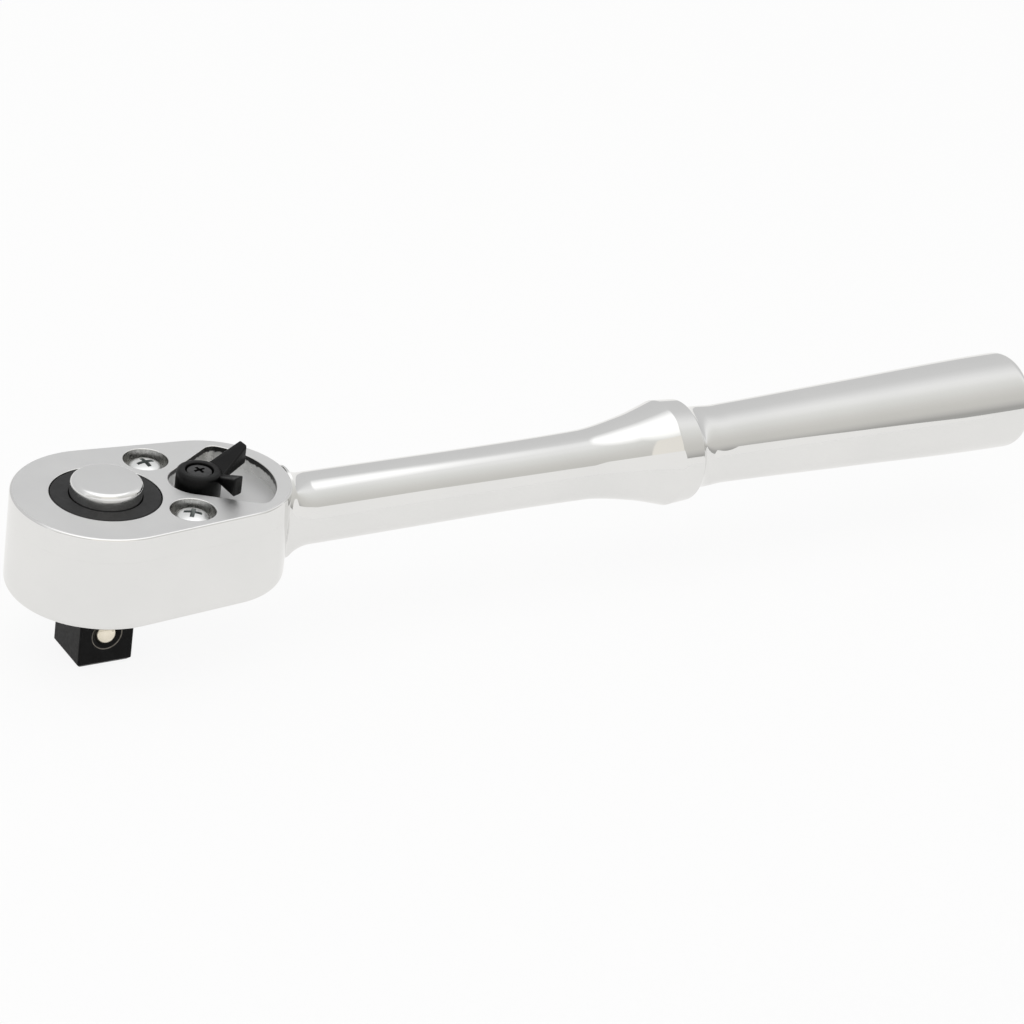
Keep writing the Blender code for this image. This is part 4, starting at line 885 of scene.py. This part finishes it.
# Plain finishes: metallic, specular, the colour's grain and two tones, the roughness's grain and range
PLAIN_FINISHES = {
    "satin_chrome": (
        1.0, 0.5, 120.0, (0.75, 0.75, 0.75), (0.78, 0.78, 0.777), 500.0, (0.46, 0.52),
    ),
    "button_nickel": (
        1.0, 0.5, 150.0, (0.8, 0.8, 0.796), (0.83, 0.83, 0.826), 500.0, (0.13, 0.18),
    ),
    # The oxide on the ring round the button, rubbed greyer by thumbs
    "ring_black": (
        0.0, 0.25, 600.0, (0.012, 0.012, 0.0125), (0.018, 0.018, 0.0186), 1500.0, (0.36, 0.46),
    ),
    "bright_zinc": (
        1.0, 0.5, 800.0, (0.86, 0.87, 0.865), (0.92, 0.925, 0.92), 2500.0, (0.3, 0.4),
    ),
    # The lever screw's head, blackened and rubbed grey
    "screw_grey": (
        0.0, 0.4, 1800.0, (0.02, 0.02, 0.021), (0.045, 0.045, 0.046), 2500.0, (0.36, 0.48),
    ),
    # A cross recess's faces, a darker grey painted as the shade down in the recess
    "shaded_recess": (
        0.6, 0.3, 2500.0, (0.17, 0.19, 0.19), (0.3, 0.325, 0.32), 2500.0, (0.4, 0.55),
    ),
    # The chamfer round the ball, rubbed bright
    "worn_edge": (
        1.0, 0.5, 1500.0, (0.1, 0.092, 0.08), (0.2, 0.185, 0.165), 2500.0, (0.25, 0.35),
    ),
    "ball_steel": (
        1.0, 0.5, 900.0, (0.78, 0.72, 0.6), (0.86, 0.8, 0.68), 2500.0, (0.12, 0.22),
    ),
    "spring_steel": (
        1.0, 0.5, 900.0, (0.33, 0.33, 0.34), (0.42, 0.42, 0.43), 2500.0, (0.28, 0.4),
    ),
    "black_rubber": (
        0.0, 0.5, 1500.0, (0.012, 0.012, 0.012), (0.02, 0.02, 0.02), 2500.0, (0.6, 0.75),
    ),
}


def plain_finish(name):
    """A finish from the table, with even noise in its colour and roughness."""
    metallic, specular, grain, dark, light, sheen_grain, sheen = PLAIN_FINISHES[name]
    finish = Finish(f"{name}_look", metallic, specular)
    finish.color(finish.noise(grain), dark, light)
    finish.roughness(finish.noise(sheen_grain), *sheen)
    return finish.material


def cut_steel_with_painted_shade():
    """Walls of holes, with the cutter's marks running down them, in a steel tone kept dark as painted
    shade inside the holes.
    """
    finish = Finish("machined_steel_look", 1.0)
    marks = finish.noise(2600.0, 3.0, (1.0, 1.0, 0.5))
    finish.color(marks, (0.3, 0.3, 0.295), (0.52, 0.52, 0.51))
    finish.roughness(finish.noise(900.0), 0.2, 0.36)
    return finish.material


def opening_wall_painted_reflection():
    """The opening's wall: a ragged near-black band painted along its top as a dark reflection, bright
    grey below.
    """
    finish = Finish("punched_edge_look", 1.0)
    split = finish.tree.nodes.new("ShaderNodeSeparateXYZ")
    finish.tree.links.new(finish.place, split.inputs["Vector"])
    # A band that turns dark over the wall's top, broken by noise: the painted dark reflection
    offset = (PAINTED_REFLECTION_DEPTH - TOP) / PAINTED_REFLECTION_FADE
    band = math_node(finish.tree, "MULTIPLY_ADD", split.outputs["Z"], 1 / PAINTED_REFLECTION_FADE, offset)
    grain = finish.noise(1800.0, 4.0, (1.0, 1.0, 0.6))
    painted_reflection = math_node(finish.tree, "MULTIPLY_ADD", grain, PAINTED_REFLECTION_RAGGEDNESS, band)
    finish.color(painted_reflection, (0.66, 0.66, 0.65), (0.05, 0.05, 0.05), (0.6, 1.0))
    finish.roughness(finish.noise(900.0), 0.24, 0.4)
    return finish.material


def black_oxide():
    finish = Finish("black_oxide_look", 0.0, 0.1)
    finish.color(finish.noise(700.0), (0.003, 0.003, 0.0032), (0.006, 0.006, 0.0063))
    finish.roughness(finish.noise(1500.0), 0.34, 0.46)
    finish.relief(finish.noise(6000.0), 0.003 * MM, 0.5)
    return finish.material


def black_lever():
    finish = Finish("black_lever_look", 0.0, 0.2)
    finish.color(finish.noise(500.0), (0.0015, 0.0015, 0.0016), (0.0035, 0.0035, 0.0037))
    finish.roughness(finish.noise(1200.0), 0.34, 0.46)
    finish.relief(finish.noise(3500.0), 0.005 * MM, 0.5)
    return finish.material


def ground_steel():
    finish = Finish("ground_steel_look", 1.0)
    finish.color(finish.noise(600.0), (0.4, 0.4, 0.39), (0.5, 0.5, 0.49))
    finish.roughness(finish.noise(3000.0, 3.0, (0.1, 1.0, 1.0)), 0.24, 0.36)
    return finish.material


def dress_inner_nodes(spring):
    """The other pieces inside the head stay as their CAD solids, each with its finish."""
    looks = {
        ground_steel(): ("release_pin", "detent_plunger", "lever_spindle", "pawl", "thrust_washer"),
        spring: ("friction_washer",),
        plain_finish("black_rubber"): ("hub_o_ring", "drive_o_ring", "lever_o_ring"),
    }
    for material, names in looks.items():
        for name in names:
            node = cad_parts[name]
            node.data.materials.clear()
            node.data.materials.append(material)


# Studio: a white floor, a white card in front, a warm panel behind it, a soft lamp above and a grey room
FLOOR_SIZE = 6.0
FLOOR_GAP = 0.0002
CARD_Y = -0.15
CARD_TOP = 0.0976
CARD_LEFT = -0.5
CARD_BEND_X = 0.15
CARD_END = (0.276, 0.0126)
PANEL_Y = -0.6
PANEL_SPAN = (-0.5, 0.18)
PANEL_RISE = (0.25, 1.0)
LAMP_PLACE = (0.03, 0.01, 0.52)
LAMP_SIZE = (0.72, 0.64)
LAMP_RADIANCE = 0.42
# How fast the lamp dims: over its corner along X and Y with an offset, then at its far and right edges
LAMP_CORNER_FADE = (-7.11, 4.53, 4.68)
LAMP_FAR_FADE = 4.0
LAMP_RIGHT_FADE = 14.0
PAPER_TONE = (0.9, 0.9, 0.9)
# How much of its even white, and of its tone, a paper shows to the camera and in a mirror
FLOOR_SHARES = (0.9, 0.8)
CARD_SHARES = (1.0, 1.0)
FLOOR_TONE = (0.975, 0.967, 0.953)
CARD_TONE = (0.965, 0.957, 0.943)
PANEL_TONE = (0.93, 0.9, 0.84)
# Brightness of the room round the handle's axis: degrees up from the camera's side, then the colour
ROOM = (
    (-180, (0.66, 0.66, 0.66)),
    (-8, (0.6, 0.6, 0.6)),
    (-4, (0.42, 0.42, 0.41)),
    (8, (0.43, 0.425, 0.41)),
    (16, (0.58, 0.57, 0.55)),
    (24, (0.66, 0.65, 0.62)),
    (36, (0.69, 0.68, 0.65)),
    (50, (0.75, 0.74, 0.715)),
    (60, (0.8, 0.8, 0.775)),
    (70, (0.85, 0.85, 0.83)),
    (82, (0.94, 0.94, 0.93)),
    (92, (0.96, 0.96, 0.955)),
    (104, (0.88, 0.88, 0.88)),
    (114, (0.79, 0.79, 0.79)),
    (126, (0.72, 0.72, 0.72)),
    (150, (0.69, 0.69, 0.69)),
    (180, (0.66, 0.66, 0.66)),
)


def seen_directly(tree):
    """1 for what the camera, a mirror or glass shows, 0 for the light that falls on a surface."""
    path = tree.nodes.new("ShaderNodeLightPath")
    total = path.outputs["Is Camera Ray"]
    for name in ("Is Glossy Ray", "Is Transmission Ray"):
        total = math_node(tree, "MAXIMUM", total, path.outputs[name])
    return total


def white_paper(name, tone, shown, mirrored):
    """Paper that is lit, and shown as even white, or in a mirror as its tone, to the shares given."""
    material = bpy.data.materials.new(name)
    material.use_nodes = True
    tree = material.node_tree
    tree.nodes.clear()
    output = tree.nodes.new("ShaderNodeOutputMaterial")
    lit = tree.nodes.new("ShaderNodeBsdfDiffuse")
    lit.inputs["Color"].default_value = (*PAPER_TONE, 1.0)
    color = tree.nodes.new("ShaderNodeMix")
    color.data_type = "RGBA"
    color.inputs["A"].default_value = (*tone, 1.0)
    color.inputs["B"].default_value = (1.0, 1.0, 1.0, 1.0)
    camera_ray = tree.nodes.new("ShaderNodeLightPath").outputs["Is Camera Ray"]
    tree.links.new(camera_ray, color.inputs["Factor"])
    white = tree.nodes.new("ShaderNodeEmission")
    tree.links.new(color.outputs["Result"], white.inputs["Color"])
    weight = math_node(tree, "MULTIPLY_ADD", camera_ray, shown - mirrored, mirrored)
    share = math_node(tree, "MULTIPLY", seen_directly(tree), weight)
    mix = tree.nodes.new("ShaderNodeMixShader")
    tree.links.new(share, mix.inputs["Fac"])
    tree.links.new(lit.outputs["BSDF"], mix.inputs[1])
    tree.links.new(white.outputs["Emission"], mix.inputs[2])
    tree.links.new(mix.outputs["Shader"], output.inputs["Surface"])
    return material


def flat_piece(name, corners, material):
    mesh = bpy.data.meshes.new(name)
    mesh.from_pydata(corners, [], [range(len(corners))])
    mesh.materials.append(material)
    obj = bpy.data.objects.new(name, mesh)
    bpy.context.scene.collection.objects.link(obj)
    return obj


def make_studio():
    half = FLOOR_SIZE / 2
    floor_z = cad_box[0][2] - FLOOR_GAP
    paper = white_paper("white_floor", FLOOR_TONE, *FLOOR_SHARES)
    corners = ((-half, -half), (half, -half), (half, half), (-half, half))
    flat_piece("floor", [(x, y, floor_z) for x, y in corners], paper)
    card = flat_piece(
        "bounce_card",
        [
            (CARD_LEFT, CARD_Y, floor_z), (CARD_END[0], CARD_Y, floor_z),
            (CARD_END[0], CARD_Y, CARD_END[1]), (CARD_BEND_X, CARD_Y, CARD_TOP),
            (CARD_LEFT, CARD_Y, CARD_TOP),
        ],
        white_paper("white_card", CARD_TONE, *CARD_SHARES),
    )
    panel = flat_piece(
        "warm_panel",
        [(x, PANEL_Y, z) for x, z in zip(PANEL_SPAN + PANEL_SPAN[::-1], sorted(PANEL_RISE * 2))],
        white_paper("warm_paper", PANEL_TONE, *CARD_SHARES),
    )
    for piece in (card, panel):
        piece.visible_camera = False
        piece.visible_shadow = False

    lamp = bpy.data.lights.new("soft_lamp", "AREA")
    lamp.shape = "RECTANGLE"
    lamp.size, lamp.size_y = LAMP_SIZE
    lamp.energy = LAMP_RADIANCE * math.pi * LAMP_SIZE[0] * LAMP_SIZE[1]
    fade_cloth(lamp)
    soft = bpy.data.objects.new("soft_lamp", lamp)
    soft.location = LAMP_PLACE
    bpy.context.scene.collection.objects.link(soft)


def fade_cloth(lamp):
    """The lamp's cloth dims towards its far and right edges, and softly over its front right corner."""
    lamp.use_nodes = True
    tree = lamp.node_tree
    split = tree.nodes.new("ShaderNodeSeparateXYZ")
    place = tree.nodes.new("ShaderNodeNewGeometry").outputs["Parametric"]
    tree.links.new(place, split.inputs["Vector"])
    x, y = split.outputs["X"], split.outputs["Y"]
    along_slope, across_slope, offset = LAMP_CORNER_FADE
    along = math_node(tree, "MULTIPLY_ADD", x, along_slope, offset)
    strength = math_node(tree, "MULTIPLY_ADD", y, across_slope, along, clamp=True)
    for side, fade in ((y, LAMP_FAR_FADE), (x, LAMP_RIGHT_FADE)):
        edge = math_node(tree, "MULTIPLY_ADD", side, -fade, fade, clamp=True)
        strength = math_node(tree, "MULTIPLY", strength, edge, clamp=True)
    tree.links.new(strength, tree.nodes["Emission"].inputs["Strength"])


def make_room():
    """The room's light, which changes only round the handle's axis; the camera sees it white."""
    world = bpy.data.worlds.new("grey_room")
    world.use_nodes = True
    tree = world.node_tree
    background = tree.nodes["Background"]
    direction = tree.nodes.new("ShaderNodeTexCoord").outputs["Generated"]
    split = tree.nodes.new("ShaderNodeSeparateXYZ")
    tree.links.new(direction, split.inputs["Vector"])
    front = math_node(tree, "MULTIPLY", split.outputs["Y"], -1.0)
    turn = math_node(tree, "ARCTAN2", split.outputs["Z"], front)
    span = tree.nodes.new("ShaderNodeMapRange")
    span.inputs["From Min"].default_value = -math.pi
    span.inputs["From Max"].default_value = math.pi
    tree.links.new(turn, span.inputs["Value"])
    ramp = tree.nodes.new("ShaderNodeValToRGB")
    stops = ramp.color_ramp.elements
    while len(stops) < len(ROOM):
        stops.new(1.0)
    for stop, (degrees, color) in zip(stops, ROOM):
        stop.position = (degrees + 180) / 360
        stop.color = (*color, 1.0)
    tree.links.new(span.outputs["Result"], ramp.inputs["Fac"])
    path = tree.nodes.new("ShaderNodeLightPath")
    mix = tree.nodes.new("ShaderNodeMix")
    mix.data_type = "RGBA"
    mix.inputs["B"].default_value = (1.0, 1.0, 1.0, 1.0)
    tree.links.new(path.outputs["Is Camera Ray"], mix.inputs["Factor"])
    tree.links.new(ramp.outputs["Color"], mix.inputs["A"])
    tree.links.new(mix.outputs["Result"], background.inputs["Color"])
    bpy.context.scene.world = world


# Camera: where the photograph was taken from
CAMERA_HEADING = math.radians(-34.354)
CAMERA_RISE = math.radians(27.685)
CAMERA_ROLL = math.radians(8.379)
CAMERA_DEPTH = 0.57227
PHOTO_SIZE = 1024
FOCAL_PIXELS = 3600.0
SENSOR = 36.0
NEAREST_SEEN = 0.01
DRIVE_AXIS_PIXEL = (105.82, 493.58)


def make_camera():
    """The drive axis, at the cover's top face, falls on its pixel of the photograph."""
    back = Vector((
        math.sin(CAMERA_HEADING) * math.cos(CAMERA_RISE),
        -math.cos(CAMERA_HEADING) * math.cos(CAMERA_RISE),
        math.sin(CAMERA_RISE),
    ))
    level = Vector((math.cos(CAMERA_HEADING), math.sin(CAMERA_HEADING), 0.0))
    rise = back.cross(level)
    right = math.cos(CAMERA_ROLL) * level + math.sin(CAMERA_ROLL) * rise
    up = -math.sin(CAMERA_ROLL) * level + math.cos(CAMERA_ROLL) * rise
    across = (DRIVE_AXIS_PIXEL[0] - PHOTO_SIZE / 2) / FOCAL_PIXELS
    down = (DRIVE_AXIS_PIXEL[1] - PHOTO_SIZE / 2) / FOCAL_PIXELS
    place = Vector((0, 0, TOP)) - (right * across - up * down - back) * CAMERA_DEPTH
    lens = bpy.data.cameras.new("camera")
    lens.sensor_width = SENSOR
    lens.lens = FOCAL_PIXELS / PHOTO_SIZE * SENSOR
    lens.clip_start = NEAREST_SEEN
    camera = bpy.data.objects.new("camera", lens)
    turn = Matrix((right, up, back)).transposed()
    camera.matrix_world = Matrix.Translation(place) @ turn.to_4x4()
    bpy.context.scene.collection.objects.link(camera)
    bpy.context.scene.camera = camera


chrome = polished_chrome()
satin = plain_finish("satin_chrome")
oxide = black_oxide()
make_body(chrome)
make_cover(satin, chrome, cut_steel_with_painted_shade(), opening_wall_painted_reflection())
make_drive(oxide, plain_finish("ring_black"), plain_finish("worn_edge"))
make_button(plain_finish("button_nickel"))
make_ball(plain_finish("ball_steel"))
make_lever(black_lever())
zinc = plain_finish("bright_zinc")
recess = plain_finish("shaded_recess")
make_screws(zinc, recess, plain_finish("screw_grey"), oxide)
drawn = plain_finish("spring_steel")
make_springs(drawn)
dress_inner_nodes(drawn)
make_studio()
make_room()
make_camera()
bpy.context.scene.view_settings.view_transform = "Standard"
